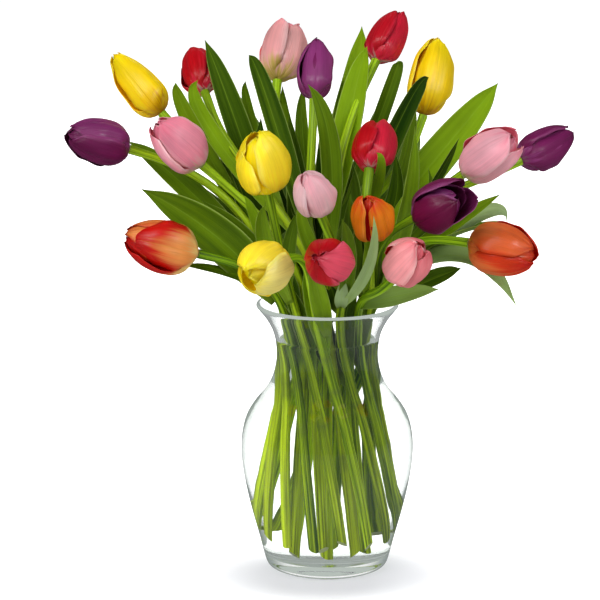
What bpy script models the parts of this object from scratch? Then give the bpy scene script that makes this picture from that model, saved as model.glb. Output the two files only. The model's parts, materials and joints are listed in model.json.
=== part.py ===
"""Twenty cut tulips with their leaves, standing in water in a clear glass vase.

Lengths in the tables are millimetres; MM turns them into Blender's metres. The vase stands on z = 0,
its axis is the Z axis, and the bouquet's front looks towards -Y.
"""

import itertools
import math
from collections import namedtuple

import bmesh
import bpy
from mathutils import Matrix, Vector
from mathutils.bvhtree import BVHTree

MM = 0.001
GAP = 0.3  # between pieces that touch
MERGE = 0.00001  # metres

# Vase: (radius, height) up the outside, from the edge of the foot to the flared lip
VASE_OUTSIDE = (
    (40.5, 0), (45, 2.5), (47.6, 9), (51.5, 24), (57, 44), (61.2, 62), (64.2, 80), (65, 95),
    (63.8, 107), (60.6, 118), (54.5, 128), (47.4, 136.5), (42, 146), (38.9, 157), (38.2, 168),
    (40.2, 181), (45.4, 192), (53.2, 202),
)
VASE_WALL = 3
VASE_FLOOR = 11  # thick base, from the table to the water
HEEL_RUN, HEEL_RISE = 2.5, 2  # slope between the inside wall and the floor
LIP_RISE = 1.2
LIP_CROWN = 0.45  # where the lip is highest, as a share of the wall from its outside
TURNED_SEGMENTS = 32
WATER_LEVEL = 177
CUT_MARGIN = 1  # a profile point nearer than this to a cut is left out

# Stems cross the neck in two rings round a centre stem, and twist like a sheaf below and above it
STEM_RADIUS = 3.5
STEM_TAPER = 0.86  # radius under the bloom, as a share of that at the cut end
STEM_LOWER_POINTS = 7
STEM_UPPER_POINTS = 7
NECK_HEIGHT = 165
SHEAF_TOP = 190
SHEAF_SPREAD = 0.006  # widening for each millimetre above the neck
SHEAF_FLARE = 0.00001  # widening for each square millimetre below it
SHEAF_TWIST = 0.0085  # turning for each millimetre of height
SHEAF_BOW = 0.0006  # eases both towards the cut ends
RINGS = {"centre": (0, 0, 1), "inner": (13, 40, 6), "outer": (27, 20, 13)}  # radius, first angle, places
PULL_AT_SHEAF = 0.45
PULL_AT_BLOOM = 0.42

BLOOM_SEGMENTS = 12
BLOOM_RINGS = 9
# (radius, height) of each ring as shares of the bloom's half width and length, from the stem to the
# lip and down inside it: a closed bud and an opened cup
CLOSED_BUD = (
    (0, 0), (0.56, 0.06), (0.87, 0.20), (1.0, 0.42), (0.94, 0.65), (0.72, 0.85), (0.40, 0.99),
    (0.24, 0.95), (0.12, 0.90), (0, 0.87),
)
OPEN_CUP = (
    (0, 0), (0.55, 0.05), (0.86, 0.18), (1.0, 0.43), (0.99, 0.68), (0.92, 0.87), (0.80, 1.0),
    (0.66, 0.88), (0.40, 0.62), (0, 0.54),
)
LIP_RING = 6
LIP_REACH = 3  # rings on each side of the lip that its shape reaches
PETAL_LOBE = 0.05  # outer petals stand proud by this share, and inner ones sit in by it
LOBE_EVERYWHERE = 0.4  # share of a lobe that is left away from the lip
NOTCH = 0.08  # depth of the notch between two petals, as a share of the length

LEAF_THICKNESS = 1.0
LEAF_ROWS = 8
LEAF_STEM_CLEARANCE = 1.2
LEAF_BASE_SHARE = 0.34  # width where the leaf leaves its stem
LEAF_TIP_SHARE = 0.07
LEAF_WIDEST = 0.42  # share of the length where the leaf is widest
LEAF_TAPER = 2.2  # power by which it narrows from there to its tip
LEAF_FOLD = 0.20  # how far the midrib sinks below the edges, as a share of the width
LEAF_WAVE = 0.05
WAVE_STEP = 2.1  # radians of the wave for each row

# Each tulip: where its bloom sits on its stem, which way the bloom heads in degrees (a turn from +X and
# a rise), its length and width, how open it is from 0 to 1, and where its stem stands in the neck.
Tulip = namedtuple("Tulip", "colour base turn rise length width openness ring place cut_height")
TULIPS = (
    Tulip("yellow", (-125, 40, 342), 150, 44, 60, 33, 0.1, "outer", 5, 28),
    Tulip("purple", (-148, -5, 322), -155, 17, 50, 36, 0.4, "outer", 6, 26),
    Tulip("red", (-93, 60, 355), 105, 39, 46, 29, 0.1, "inner", 4, 17),
    Tulip("pink", (-93, -10, 311), -163, 43, 49, 37, 0.5, "inner", 3, 22),
    Tulip("pink", (-38, 80, 361), 71, 54, 50, 37, 0.3, "inner", 1, 26),
    Tulip("purple", (-10, 30, 354), 85, 59, 51, 28, 0.1, "inner", 2, 15),
    Tulip("red", (37, 60, 379), 58, 43, 49, 31, 0.1, "centre", 0, 13),
    Tulip("yellow", (73, 50, 339), 62, 65, 62, 34, 0.1, "outer", 4, 32),
    Tulip("pink", (100, -15, 305), -19, 37, 50, 37, 0.5, "outer", 2, 30),
    Tulip("purple", (145, 20, 309), 33, 20, 51, 33, 0.4, "outer", 3, 26),
    Tulip("red", (30, -45, 314), 76, 44, 44, 33, 0.1, "outer", 12, 26),
    Tulip("yellow", (-44, -60, 300), -119, 68, 51, 42, 0.7, "outer", 8, 30),
    Tulip("pink", (-6, -85, 289), -118, 56, 40, 30, 0.1, "inner", 5, 16),
    Tulip("orange", (33, -85, 271), -103, 57, 43, 31, 0.6, "outer", 10, 26),
    Tulip("red", (5, -115, 258), -107, 16, 46, 34, 0.4, "inner", 0, 18),
    Tulip("yellow", (-34, -94, 256), -125, -7, 45, 40, 0.9, "outer", 9, 25),
    Tulip("purple", (63, -70, 283), -33, 28, 48, 36, 0.9, "outer", 0, 26),
    Tulip("pink", (47, -93, 243), -51, 44, 43, 34, 0.6, "outer", 11, 27),
    Tulip("orange", (104, -40, 258), -25, -6, 53, 41, 0.5, "outer", 1, 34),
    Tulip("orange", (-96, -40, 250), -166, 16, 57, 41, 0.5, "outer", 7, 25),
)

# Each leaf leaves the stem of one tulip at a height, and runs through a middle point to its tip. Its
# hollow side faces along a heading: a turn from +X and a rise.
Leaf = namedtuple("Leaf", "tulip height middle tip width face_turn face_rise")
LEAVES = (
    Leaf(20, 208, (-84, -15, 259), (-139, -5, 292), 33, -95, 20),
    Leaf(2, 228, (-107, 15, 291), (-150, 20, 324), 19, -80, 20),
    Leaf(2, 250, (-90, 35, 337), (-99, 35, 374), 14, -90, 0),
    Leaf(1, 232, (-68, 52, 335), (-91, 80, 392), 21, -75, 0),
    Leaf(3, 228, (-39, 25, 346), (-55, 35, 387), 17, -70, 0),
    Leaf(7, 232, (2, -5, 321), (-15, 0, 370), 17, -90, 0),
    Leaf(8, 228, (20, 65, 340), (30, 85, 403), 26, -95, 0),
    Leaf(10, 240, (43, 35, 345), (59, 45, 376), 17, -70, 0),
    Leaf(9, 240, (62, 25, 316), (68, 35, 358), 13, -60, 0),
    Leaf(10, 222, (85, 45, 313), (127, 60, 365), 30, -85, 10),
    Leaf(17, 212, (52, -50, 281), (59, -45, 345), 16, -65, 0),
    Leaf(19, 232, (91, -15, 266), (128, -20, 291), 13, -95, 30),
    Leaf(19, 212, (92, -18, 252), (140, -28, 219), 19, -100, 50),
    Leaf(11, 208, (75, -30, 228), (98, -40, 239), 15, -95, 30),
    Leaf(16, 186, (-6, -57, 219), (-12, -66, 249), 15, -90, 0),
    Leaf(12, 212, (-43, -45, 265), (-41, -50, 295), 14, -80, 0),
    Leaf(5, 226, (-42, 88, 300), (-62, 112, 340), 24, 100, 0),
    Leaf(8, 214, (52, 84, 285), (66, 112, 325), 26, 75, 0),
)
# A leaf that would cut something is turned and lifted by these degrees, or starts further round its stem
LEAF_TURNS = (0, 3, -3, 6, -6, 9, -9, 13, -13, 17, -17)
LEAF_LIFTS = (0, 3, -3, 6, -6, 9, -9)
LEAF_STARTS = (0, 45, -45, 90, -90, 135, -135, 180)

PETAL_COLOURS = {
    "yellow": (0.90, 0.68, 0.01),
    "purple": (0.19, 0.025, 0.15),
    "red": (0.60, 0.01, 0.03),
    "pink": (0.88, 0.40, 0.47),
    "orange": (0.88, 0.16, 0.02),
}
STEM_COLOUR = (0.22, 0.42, 0.03)
LEAF_COLOUR = (0.10, 0.27, 0.02)


def clear_scene():
    for obj in list(bpy.data.objects):
        bpy.data.objects.remove(obj, do_unlink=True)


def new_collection(name):
    collection = bpy.data.collections.new(name)
    bpy.context.scene.collection.children.link(collection)
    return collection


def plain_material(name, colour, roughness, transmission=0.0):
    material = bpy.data.materials.new(name)
    material.use_nodes = True
    shader = material.node_tree.nodes["Principled BSDF"]
    shader.inputs["Base Color"].default_value = (*colour, 1)
    shader.inputs["Roughness"].default_value = roughness
    shader.inputs["Metallic"].default_value = 0
    shader.inputs["Transmission Weight"].default_value = transmission
    return material


def new_object(name, data, collection, material=None):
    obj = bpy.data.objects.new(name, data)
    collection.objects.link(obj)
    if material:
        data.materials.append(material)
    return obj


def mesh_from(bm, name):
    mesh = bpy.data.meshes.new(name)
    bm.to_mesh(mesh)
    bm.free()
    mesh.shade_smooth()
    return mesh


# ---- turned pieces: the vase and the water in it

def inset(profile, distance):
    """The profile moved towards the axis by a distance, square to its own direction."""
    moved = []
    for i, (radius, height) in enumerate(profile):
        before = Vector(profile[max(i - 1, 0)])
        after = Vector(profile[min(i + 1, len(profile) - 1)])
        along = (after - before).normalized()
        moved.append((radius - along.y * distance, height + along.x * distance))
    return moved


def above(profile, height):
    """The part of a profile that rises above a height, starting exactly at it."""
    kept = [point for point in profile if point[1] > height + CUT_MARGIN]
    under = [point for point in profile if point[1] <= height + CUT_MARGIN][-1]
    share = (height - under[1]) / (kept[0][1] - under[1])
    return [(under[0] + share * (kept[0][0] - under[0]), height), *kept]


def below(profile, height):
    """The part of a profile under a height, ending exactly at it."""
    kept = [point for point in profile if point[1] < height - CUT_MARGIN]
    over = [point for point in profile if point[1] >= height - CUT_MARGIN][0]
    share = (height - kept[-1][1]) / (over[1] - kept[-1][1])
    return [*kept, (kept[-1][0] + share * (over[0] - kept[-1][0]), height)]


def turned(name, profile, collection, material):
    """A solid of revolution; the profile runs up the inside or the axis, then down the outside."""
    bm = bmesh.new()
    points = [bm.verts.new((radius * MM, 0, height * MM)) for radius, height in profile]
    for first, second in zip(points, points[1:]):
        bm.edges.new((first, second))
    mesh = bpy.data.meshes.new(name)
    bm.to_mesh(mesh)
    bm.free()
    obj = new_object(name, mesh, collection, material)
    screw = obj.modifiers.new("Turn", "SCREW")
    screw.steps = screw.render_steps = TURNED_SEGMENTS
    screw.use_merge_vertices = True
    screw.merge_threshold = MERGE
    screw.use_smooth_shade = True
    return obj


def make_vase(collection):
    inside = above(inset(VASE_OUTSIDE, VASE_WALL), VASE_FLOOR + HEEL_RISE)
    floor_edge = (inside[0][0] - HEEL_RUN, VASE_FLOOR)
    lip = (VASE_OUTSIDE[-1][0] - LIP_CROWN * VASE_WALL, VASE_OUTSIDE[-1][1] + LIP_RISE)
    profile = [(0, VASE_FLOOR), floor_edge, *inside, lip, *reversed(VASE_OUTSIDE), (0, 0)]
    glass = plain_material("glass", (0.95, 0.98, 0.97), 0.02, 1.0)
    return turned("vase", profile, collection, glass)


def make_water(collection, cutters):
    side = inset(VASE_OUTSIDE, VASE_WALL + GAP)
    side = below(above(side, VASE_FLOOR + HEEL_RISE + GAP), WATER_LEVEL)
    floor_edge = (side[0][0] - HEEL_RUN, VASE_FLOOR + GAP)
    profile = [(0, WATER_LEVEL), *reversed(side), floor_edge, (0, VASE_FLOOR + GAP)]
    clear = plain_material("water", (0.97, 0.99, 1.0), 0.0, 1.0)
    water = turned("water", profile, collection, clear)
    for cutter in cutters:
        cut = water.modifiers.new("Cut for " + cutter.name, "BOOLEAN")
        cut.object = cutter
        cut.solver = "EXACT"
    return water


# ---- stems

def neck_place(tulip):
    radius, first_angle, places = RINGS[tulip.ring]
    angle = math.radians(first_angle + 360 / places * tulip.place)
    return Vector((radius * math.cos(angle), radius * math.sin(angle)))


def sheaf_point(place, height):
    rise = height - NECK_HEIGHT
    rise *= 1 + SHEAF_BOW * rise
    spread = 1 + (SHEAF_SPREAD * rise if rise > 0 else SHEAF_FLARE * rise**2)
    twist = SHEAF_TWIST * rise
    return Vector((place.x * spread + place.y * twist, place.y * spread - place.x * twist, height))


def heading(turn, rise):
    turn, rise = math.radians(turn), math.radians(rise)
    return Vector((math.cos(turn) * math.cos(rise), math.sin(turn) * math.cos(rise), math.sin(rise)))


def bezier(start, pull, push, end, share):
    left = 1 - share
    return left**3 * start + 3 * left**2 * share * pull + 3 * left * share**2 * push + share**3 * end


def stem_route(tulip):
    """Points up the middle of a stem: the sheaf through the neck, then a curve into the bloom."""
    place = neck_place(tulip)
    step = (SHEAF_TOP - tulip.cut_height) / STEM_LOWER_POINTS
    route = [sheaf_point(place, tulip.cut_height + step * i) for i in range(STEM_LOWER_POINTS)]
    start = sheaf_point(place, SHEAF_TOP)
    along = (sheaf_point(place, SHEAF_TOP + 1) - start).normalized()
    into_bloom = heading(tulip.turn, tulip.rise)
    end = Vector(tulip.base) - into_bloom * GAP
    reach = (end - start).length
    pull = start + along * reach * PULL_AT_SHEAF
    push = end - into_bloom * reach * PULL_AT_BLOOM
    for i in range(STEM_UPPER_POINTS + 1):
        route.append(bezier(start, pull, push, end, i / STEM_UPPER_POINTS))
    return route


def stem_curve(name, route, extra, collection, material=None):
    curve = bpy.data.curves.new(name, "CURVE")
    curve.dimensions = "3D"
    curve.bevel_depth = (STEM_RADIUS + extra) * MM
    curve.bevel_resolution = 1
    curve.use_fill_caps = True
    spline = curve.splines.new("POLY")
    spline.points.add(len(route) - 1)
    for i, (point, place) in enumerate(zip(spline.points, route)):
        point.co = (*(place * MM), 1)
        point.radius = 1 + (STEM_TAPER - 1) * i / (len(route) - 1)
    return new_object(name, curve, collection, material)


def stem_cutter(name, route, collection):
    """A closed mesh a little wider than the stem, from under its cut end to above the water."""
    wet = [point.copy() for point in route[:STEM_LOWER_POINTS + 1]]
    wet[0] -= (wet[1] - wet[0]).normalized() * GAP
    guide = stem_curve(name + "_guide", wet, GAP, collection)
    graph = bpy.context.evaluated_depsgraph_get()
    mesh = bpy.data.meshes.new_from_object(guide.evaluated_get(graph))
    bpy.data.objects.remove(guide, do_unlink=True)
    bm = bmesh.new()
    bm.from_mesh(mesh)
    bmesh.ops.remove_doubles(bm, verts=bm.verts, dist=MERGE)
    bmesh.ops.recalc_face_normals(bm, faces=bm.faces)
    bm.to_mesh(mesh)
    bm.free()
    cutter = new_object(name, mesh, collection)
    cutter.hide_render = True
    cutter.display_type = "WIRE"
    return cutter


# ---- blooms

def bloom_ring(openness, ring):
    closed, opened = CLOSED_BUD[ring], OPEN_CUP[ring]
    return [a + (b - a) * openness for a, b in zip(closed, opened)]


def make_bloom(name, tulip, collection, material):
    """A tulip head as one closed body: six lobes round it, and a lip that dips to the middle."""
    bm = bmesh.new()
    bmesh.ops.create_uvsphere(bm, u_segments=BLOOM_SEGMENTS, v_segments=BLOOM_RINGS, radius=1)
    for vert in bm.verts:
        ring = round((math.pi - math.acos(max(-1, min(1, vert.co.z)))) / math.pi * BLOOM_RINGS)
        turn = math.atan2(vert.co.y, vert.co.x)
        radius, height = bloom_ring(tulip.openness, ring)
        lobe = math.cos(3 * turn)
        opening = max(0, 1 - abs(ring - LIP_RING) / LIP_REACH)
        radius *= 1 + PETAL_LOBE * lobe * (LOBE_EVERYWHERE + opening)
        height *= 1 - NOTCH * (1 - lobe * lobe) * opening
        across = radius * tulip.width / 2 * MM
        vert.co = (across * math.cos(turn), across * math.sin(turn), height * tulip.length * MM)
    bloom = new_object(name, mesh_from(bm, name), collection, material)
    bloom.location = Vector(tulip.base) * MM
    bloom.rotation_euler = heading(tulip.turn, tulip.rise).to_track_quat("Z", "Y").to_euler()
    return bloom


# ---- leaves

def width_share(share):
    """A leaf's width along it: narrow at the stem, widest before the middle, and a long point."""
    quarter = math.pi / 2 * min(1, share / LEAF_WIDEST)
    rising = LEAF_BASE_SHARE + (1 - LEAF_BASE_SHARE) * math.sin(quarter)
    falling = 1 - max(0, (share - LEAF_WIDEST) / (1 - LEAF_WIDEST)) ** LEAF_TAPER
    return rising * (LEAF_TIP_SHARE + (1 - LEAF_TIP_SHARE) * falling)


def leaf_spine(leaf, start):
    middle, tip = Vector(leaf.middle), Vector(leaf.tip)
    bend = 2 * middle - (start + tip) / 2
    shares = [i / LEAF_ROWS for i in range(LEAF_ROWS + 1)]
    return [(1 - s) ** 2 * start + 2 * (1 - s) * s * bend + s * s * tip for s in shares]


def leaf_mesh(name, leaf, start):
    """An open folded blade, three points across, whose midrib sinks away from its hollow side."""
    spine = leaf_spine(leaf, start)
    face = heading(leaf.face_turn, leaf.face_rise)
    bm = bmesh.new()
    rows = []
    for i, point in enumerate(spine):
        along = (spine[min(i + 1, LEAF_ROWS)] - spine[max(i - 1, 0)]).normalized()
        side = along.cross(face).normalized()
        hollow = side.cross(along)
        half = leaf.width / 2 * width_share(i / LEAF_ROWS)
        rise = half * LEAF_FOLD
        wave = half * LEAF_WAVE * math.sin(WAVE_STEP * i + leaf.width)
        rib = point - hollow * rise
        left = point - side * half + hollow * (rise + wave)
        right = point + side * half + hollow * (rise - wave)
        rows.append([bm.verts.new(place * MM) for place in (left, rib, right)])
    for lower, upper in zip(rows, rows[1:]):
        for k in range(2):
            bm.faces.new((lower[k], lower[k + 1], upper[k + 1], upper[k]))
    bmesh.ops.recalc_face_normals(bm, faces=bm.faces)
    return mesh_from(bm, name)


def tree_of(obj):
    """A search tree of an object's evaluated surface, where it stands."""
    evaluated = obj.evaluated_get(bpy.context.evaluated_depsgraph_get())
    bm = bmesh.new()
    bm.from_mesh(evaluated.to_mesh())
    bm.transform(evaluated.matrix_world)
    evaluated.to_mesh_clear()
    tree = BVHTree.FromBMesh(bm)
    bm.free()
    return tree


def point_on_stem(route, height):
    """Where a stem first reaches a height, and its direction there."""
    for first, second in zip(route, route[1:]):
        if first.z <= height <= second.z:
            share = (height - first.z) / (second.z - first.z)
            return first.lerp(second, share), (second - first).normalized()
    raise ValueError("no stem reaches that height")


def leaf_settings(start, across):
    """Small turns and lifts about a leaf's start, the smallest first."""
    pivot = Matrix.Translation(start * MM)
    hinge = Vector((across.y, -across.x, 0)).normalized()
    pairs = sorted(itertools.product(LEAF_TURNS, LEAF_LIFTS), key=lambda pair: abs(pair[0]) + abs(pair[1]))
    for turn, lift in pairs:
        spin = Matrix.Rotation(math.radians(turn), 4, "Z")
        tilt = Matrix.Rotation(math.radians(lift), 4, hinge)
        yield pivot @ spin @ tilt @ pivot.inverted()


def placed_leaf(name, leaf, route, taken, collection, material):
    """The leaf at the first side of its stem, turn and lift where it clears everything placed before."""
    centre, along = point_on_stem(route, leaf.height)
    towards = Vector(leaf.middle) - centre
    across = (towards - along * towards.dot(along)).normalized()
    reach = STEM_RADIUS + LEAF_STEM_CLEARANCE + LEAF_THICKNESS
    obj = new_object(name, bpy.data.meshes.new(name), collection)
    shell = obj.modifiers.new("Blade", "SOLIDIFY")
    shell.offset = 0
    for angle in LEAF_STARTS:
        start = centre + Matrix.Rotation(math.radians(angle), 3, along) @ across * reach
        obj.data = leaf_mesh(name, leaf, start)
        shell.thickness = (LEAF_THICKNESS + 2 * GAP) * MM
        for setting in leaf_settings(start, across):
            obj.matrix_world = setting
            bpy.context.view_layer.update()
            blade = tree_of(obj)
            if not any(blade.overlap(tree) for tree in taken):
                shell.thickness = LEAF_THICKNESS * MM
                obj.data.materials.append(material)
                return obj
    raise ValueError(name + " has no clear place")


# ---- the whole

def main():
    clear_scene()
    parts = new_collection("tulips_in_a_vase")
    cutting = new_collection("cutters")
    petals = {
        colour: plain_material("petal_" + colour, rgb, 0.45) for colour, rgb in PETAL_COLOURS.items()
    }
    stem_green = plain_material("stem_green", STEM_COLOUR, 0.5)
    leaf_green = plain_material("leaf_green", LEAF_COLOUR, 0.5)
    vase = make_vase(parts)
    routes = [stem_route(tulip) for tulip in TULIPS]
    taken = []
    cutters = []
    for number, (tulip, route) in enumerate(zip(TULIPS, routes), 1):
        stem = stem_curve(f"stem_{number:02d}", route, 0, parts, stem_green)
        bloom = make_bloom(f"bloom_{number:02d}", tulip, parts, petals[tulip.colour])
        cutters.append(stem_cutter(f"cutter_{number:02d}", route, cutting))
        taken += [stem, bloom]
    make_water(parts, cutters)
    bpy.context.view_layer.update()
    taken = [tree_of(obj) for obj in [vase, *taken]]
    for number, leaf in enumerate(LEAVES, 1):
        name = f"leaf_{number:02d}"
        blade = placed_leaf(name, leaf, routes[leaf.tulip - 1], taken, parts, leaf_green)
        bpy.context.view_layer.update()
        taken.append(tree_of(blade))


main()
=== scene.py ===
"""Looks of a bunch of tulips standing in a clear glass vase of water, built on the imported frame."""

import json
import math
from collections import namedtuple

import bpy
import numpy as np
from mathutils import Matrix, Vector

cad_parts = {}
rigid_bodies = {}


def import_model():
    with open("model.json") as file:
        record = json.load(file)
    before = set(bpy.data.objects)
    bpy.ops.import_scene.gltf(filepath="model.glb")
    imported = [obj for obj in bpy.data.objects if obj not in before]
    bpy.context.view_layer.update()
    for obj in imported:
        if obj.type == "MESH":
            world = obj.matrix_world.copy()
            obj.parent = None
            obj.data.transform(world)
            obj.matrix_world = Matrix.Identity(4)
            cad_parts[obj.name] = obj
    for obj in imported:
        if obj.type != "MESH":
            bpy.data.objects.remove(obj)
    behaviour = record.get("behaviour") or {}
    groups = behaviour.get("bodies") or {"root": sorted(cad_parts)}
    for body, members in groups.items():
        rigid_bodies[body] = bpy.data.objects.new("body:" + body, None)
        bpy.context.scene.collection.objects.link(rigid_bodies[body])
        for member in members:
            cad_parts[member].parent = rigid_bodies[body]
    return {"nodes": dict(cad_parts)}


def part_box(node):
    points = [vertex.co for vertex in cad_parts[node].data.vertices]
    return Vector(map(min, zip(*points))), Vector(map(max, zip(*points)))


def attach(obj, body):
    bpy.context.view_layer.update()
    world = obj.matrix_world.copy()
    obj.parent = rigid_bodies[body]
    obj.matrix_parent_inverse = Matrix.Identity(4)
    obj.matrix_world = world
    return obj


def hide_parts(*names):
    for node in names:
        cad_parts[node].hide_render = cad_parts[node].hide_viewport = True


bl_info = {
    "name": "Tulips in a Vase",
    "version": (1, 0, 0),
    "blender": (4, 5, 0),
    "location": "View3D > Sidebar > Tulips",
    "description": "Builds petals, stems, leaves, glass and water around the packed frame",
    "category": "Object",
}

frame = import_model()

MM = 0.001
BODY = "root"
LEAST_LEAF_WIDTH = 2 * MM  # a leaf narrower than this doesn't show which way is across

# Each bloom: its variety, how open its three outer and three inner petals are (0 closed, 1 spread,
# below 0 drawn together at the top), the turn of its first petal in degrees, how much wider than its
# circle the petals are, if its centre shows, how much it narrows toward its top, and for the six
# petals in order their share of its length and of the flame colour.
Bloom = namedtuple("Bloom", "variety outer inner turn fullness centre taper tall tints",
                   defaults=(False, 0.0, (1.0,) * 6, (0.0,) * 6))
BLOOMS = {
    1: Bloom("yellow", (0.05, 0.0, 0.0), (0.0, 0.0, 0.0), 20, 1.0, taper=0.55),
    2: Bloom("purple", (0.15, 0.05, 0.12), (0.05, 0.0, 0.1), 75, 1.0,
        taper=0.2, tints=(0.6, 0, 0.2, 0.5, 0, 0.3)),
    3: Bloom("red", (0.05, 0.08, 0.0), (0.0, 0.0, 0.0), 35, 1.05),
    4: Bloom("pink", (0.3, 0.1, 0.1), (0.1, 0.0, 0.1), 15, 1.0,
        taper=0.15, tints=(0.0, 0.1, 0.6, 0.2, 0.5, 0.0)),
    5: Bloom("pink_warm", (0.25, 0.2, 0.25), (0.15, 0.2, 0.15), 50, 1.0,
        tints=(0.5, 0.1, 0.7, 0.3, 0.2, 0.4)),
    6: Bloom("purple", (0.05, 0.02, 0.0), (0.0, 0.0, 0.0), 95, 1.05,
        taper=0.25, tints=(0.9, 0.3, 0.5, 0.4, 0.7, 0.2)),
    7: Bloom("red", (0.02, 0.04, 0.0), (-0.1, 0.0, 0.0), 65, 1.05,
        taper=0.3, tints=(0.2, 0.5, 0.7, 0.2, 0.0, 0.3)),
    8: Bloom("yellow", (0.06, 0.1, 0.02), (0.06, 0.06, 0.06), 5, 1.02,
        taper=0.1, tints=(0.0, 0.3, 0.2, 0.6, 0.0, 0.3)),
    9: Bloom("pink", (0.25, 0.25, 0.3), (0.15, 0.1, 0.1), 30, 1.0, tints=(0.2, 0.5, 0.7, 0.1, 0.9, 0.2)),
    10: Bloom("purple", (0.15, 0.1, 0.1), (0.1, 0.0, 0.1), 60, 1.0,
        taper=0.4, tints=(0.1, 0.5, 0.2, 0.4, 0.3, 0.1)),
    11: Bloom("red", (0.05, 0.06, 0.0), (-0.1, 0.0, 0.0), 40, 1.05,
        tints=(0.0, 0.6, 0.8, 0.2, 0.3, 0.0)),
    12: Bloom("yellow_open", (0.05, 0.0, 0.42), (0.0, 0.12, 0.08), -8, 0.94, taper=0.1,
              tall=(1.02, 0.95, 0.95, 1.0, 0.75, 0.95), tints=(0.1, 0.0, 0.0, 0.0, 0.05, 0.0)),
    13: Bloom("pale", (0.0, 0.0, -0.05), (-0.2, -0.2, -0.2), 85, 1.06,
        tints=(0.8, 0.2, 0.5, 0.6, 0.1, 0.4)),
    14: Bloom("orange_red", (0.08, -0.25, 0.1), (-0.25, -0.25, -0.12), -30, 0.86,
        tall=(1.0, 0.9, 0.9, 0.9, 1.0, 0.97),
              tints=(0.05, 0.8, 0.6, 0.8, 0.2, 1.0)),
    # Bloom 15's first petal is tinted with its variety's pink flame colour as a painted highlight.
    15: Bloom("rose_red", (-0.3, -0.12, -0.1), (-0.3, -0.25, -0.2), -15, 1.16,
        tall=(1.06, 0.95, 0.98, 0.94, 1.0, 0.95),
              tints=(0.9, 0.2, 0.0, 0.4, 0.0, 0.1)),
    16: Bloom("yellow_open", (0.1, 0.12, 0.24), (-0.2, -0.1, -0.2), 90, 1.08,
        tall=(1.0, 0.9, 0.95, 0.86, 1.0, 0.9),
              tints=(0.15, 0.0, 0.0, 0.0, 1.0, 0.2)),
    17: Bloom("plum", (0.12, 0.42, 0.4), (0.12, 0.2, 0.2), 205, 0.98, True,
        tall=(0.9, 0.86, 1.0, 0.95, 1.0, 0.84),
              tints=(0.0, 0.4, 0.7, 0.5, 0.2, 1.0)),
    18: Bloom("coral", (0.08, 0.1, -0.12), (-0.15, -0.1, -0.1), 175, 1.06,
        tall=(1.0, 0.98, 0.96, 0.9, 1.0, 0.9),
              tints=(0.75, 0.0, 0.2, 0.4, 0.6, 0.3)),
    19: Bloom("orange", (0.05, 0.08, 0.05), (0.02, 0.0, 0.02), 118, 1.0, taper=0.1,
              tall=(0.97, 1.0, 1.02, 0.95, 1.0, 0.95), tints=(0.6, 0.5, 0.0, 0.0, 0.0, 0.0)),
    20: Bloom("flame", (0.04, 0.1, 0.05), (0.1, 0.05, 0.1), 5, 1.02, taper=0.1,
              tall=(0.97, 1.0, 1.0, 1.0, 1.0, 1.0), tints=(0.0, 0.85, 0.7, 0.0, 0.0, 0.0)),
}

# Each variety: the slot of its colour in the record, its colours at the base, over the body, at the
# tip, along the edge, of the flame that climbs from the base, and inside; then how far the base colour
# and the flame reach.
Variety = namedtuple("Variety", "slot base body tip edge flame inside base_reach flame_reach")
VARIETIES = {
    "yellow": Variety("petal_yellow", "#E2A600", "#FFE200", "#FFEC00", "#FFF24A", "#F6CC00", "#F6BE00",
        0.22, 0.32),
    "yellow_open": Variety("petal_yellow", "#EFC800", "#FFE800", "#FFF000", "#FFF870", "#FCF28C", "#FFE400",
        0.16, 0.16),
    "purple": Variety("petal_purple", "#98607E", "#741050", "#620A42", "#A64A86", "#963A7C", "#480632",
        0.07, 0.22),
    "plum": Variety("petal_purple", "#7A3458", "#70063E", "#620436", "#B45C9C", "#983C84", "#4C0428",
        0.07, 0.14),
    "red": Variety("petal_red", "#DCA49A", "#C80012", "#A8000A", "#E02C48", "#E22442", "#8C0008",
        0.06, 0.22),
    # Red whose pink flame colour is partly a flame from the base and partly a painted highlight, laid over a
    # whole petal by its tint.
    "rose_red": Variety("petal_red", "#DCA49A", "#CC0418", "#AC000C", "#EC6078", "#F0566E", "#9C000C",
        0.06, 0.22),
    "pink": Variety("petal_pink", "#DCD490", "#F296AC", "#EE7C96", "#FCDCE0", "#F6BCC6", "#E8747E",
        0.16, 0.30),
    "pink_warm": Variety("petal_pink", "#DCC060", "#F4A2A8", "#F292A2", "#FADCDA", "#F8C0BA", "#E87C78",
        0.30, 0.40),
    "pale": Variety("petal_pink", "#D9C9A8", "#F4C0C8", "#F0ACB8", "#FCE6E8", "#F8D6D8", "#E8949C",
        0.22, 0.50),
    "coral": Variety("petal_pink", "#F4DA9C", "#F4848C", "#F06C7A", "#FCD8D4", "#FAB4B6", "#EA5044",
        0.14, 0.24),
    "orange": Variety("petal_orange", "#EE9C20", "#E03A08", "#CC0A02", "#E43A10", "#F47E3C", "#C81804",
        0.12, 0.62),
    "orange_red": Variety("petal_orange", "#F0B010", "#F08A0C", "#E43408", "#F8A838", "#CC1206", "#B80C04",
        0.16, 0.10),
    "flame": Variety("petal_orange", "#FFE090", "#D61204", "#C00602", "#D81808", "#FAA050", "#B40604",
        0.34, 0.66),
}

# The tone of each large leaf, in the order of their numbers: 0 is dark, 1 pale and 1.5 greyish. It is partly
# the leaf's own green and partly painted light and shade: leaves in shadow get dark tones and lit ones pale
# tones.
LEAF_TONES = (
    0.4, 0.5, 0.7, 0.25, 0.2, 0.45, 1.0, 0.05, 0.5,
    0.85, 0.6, 0.55, 1.3, 0.25, 0.8, 0.7, 0.4, 0.3,
)

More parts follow.
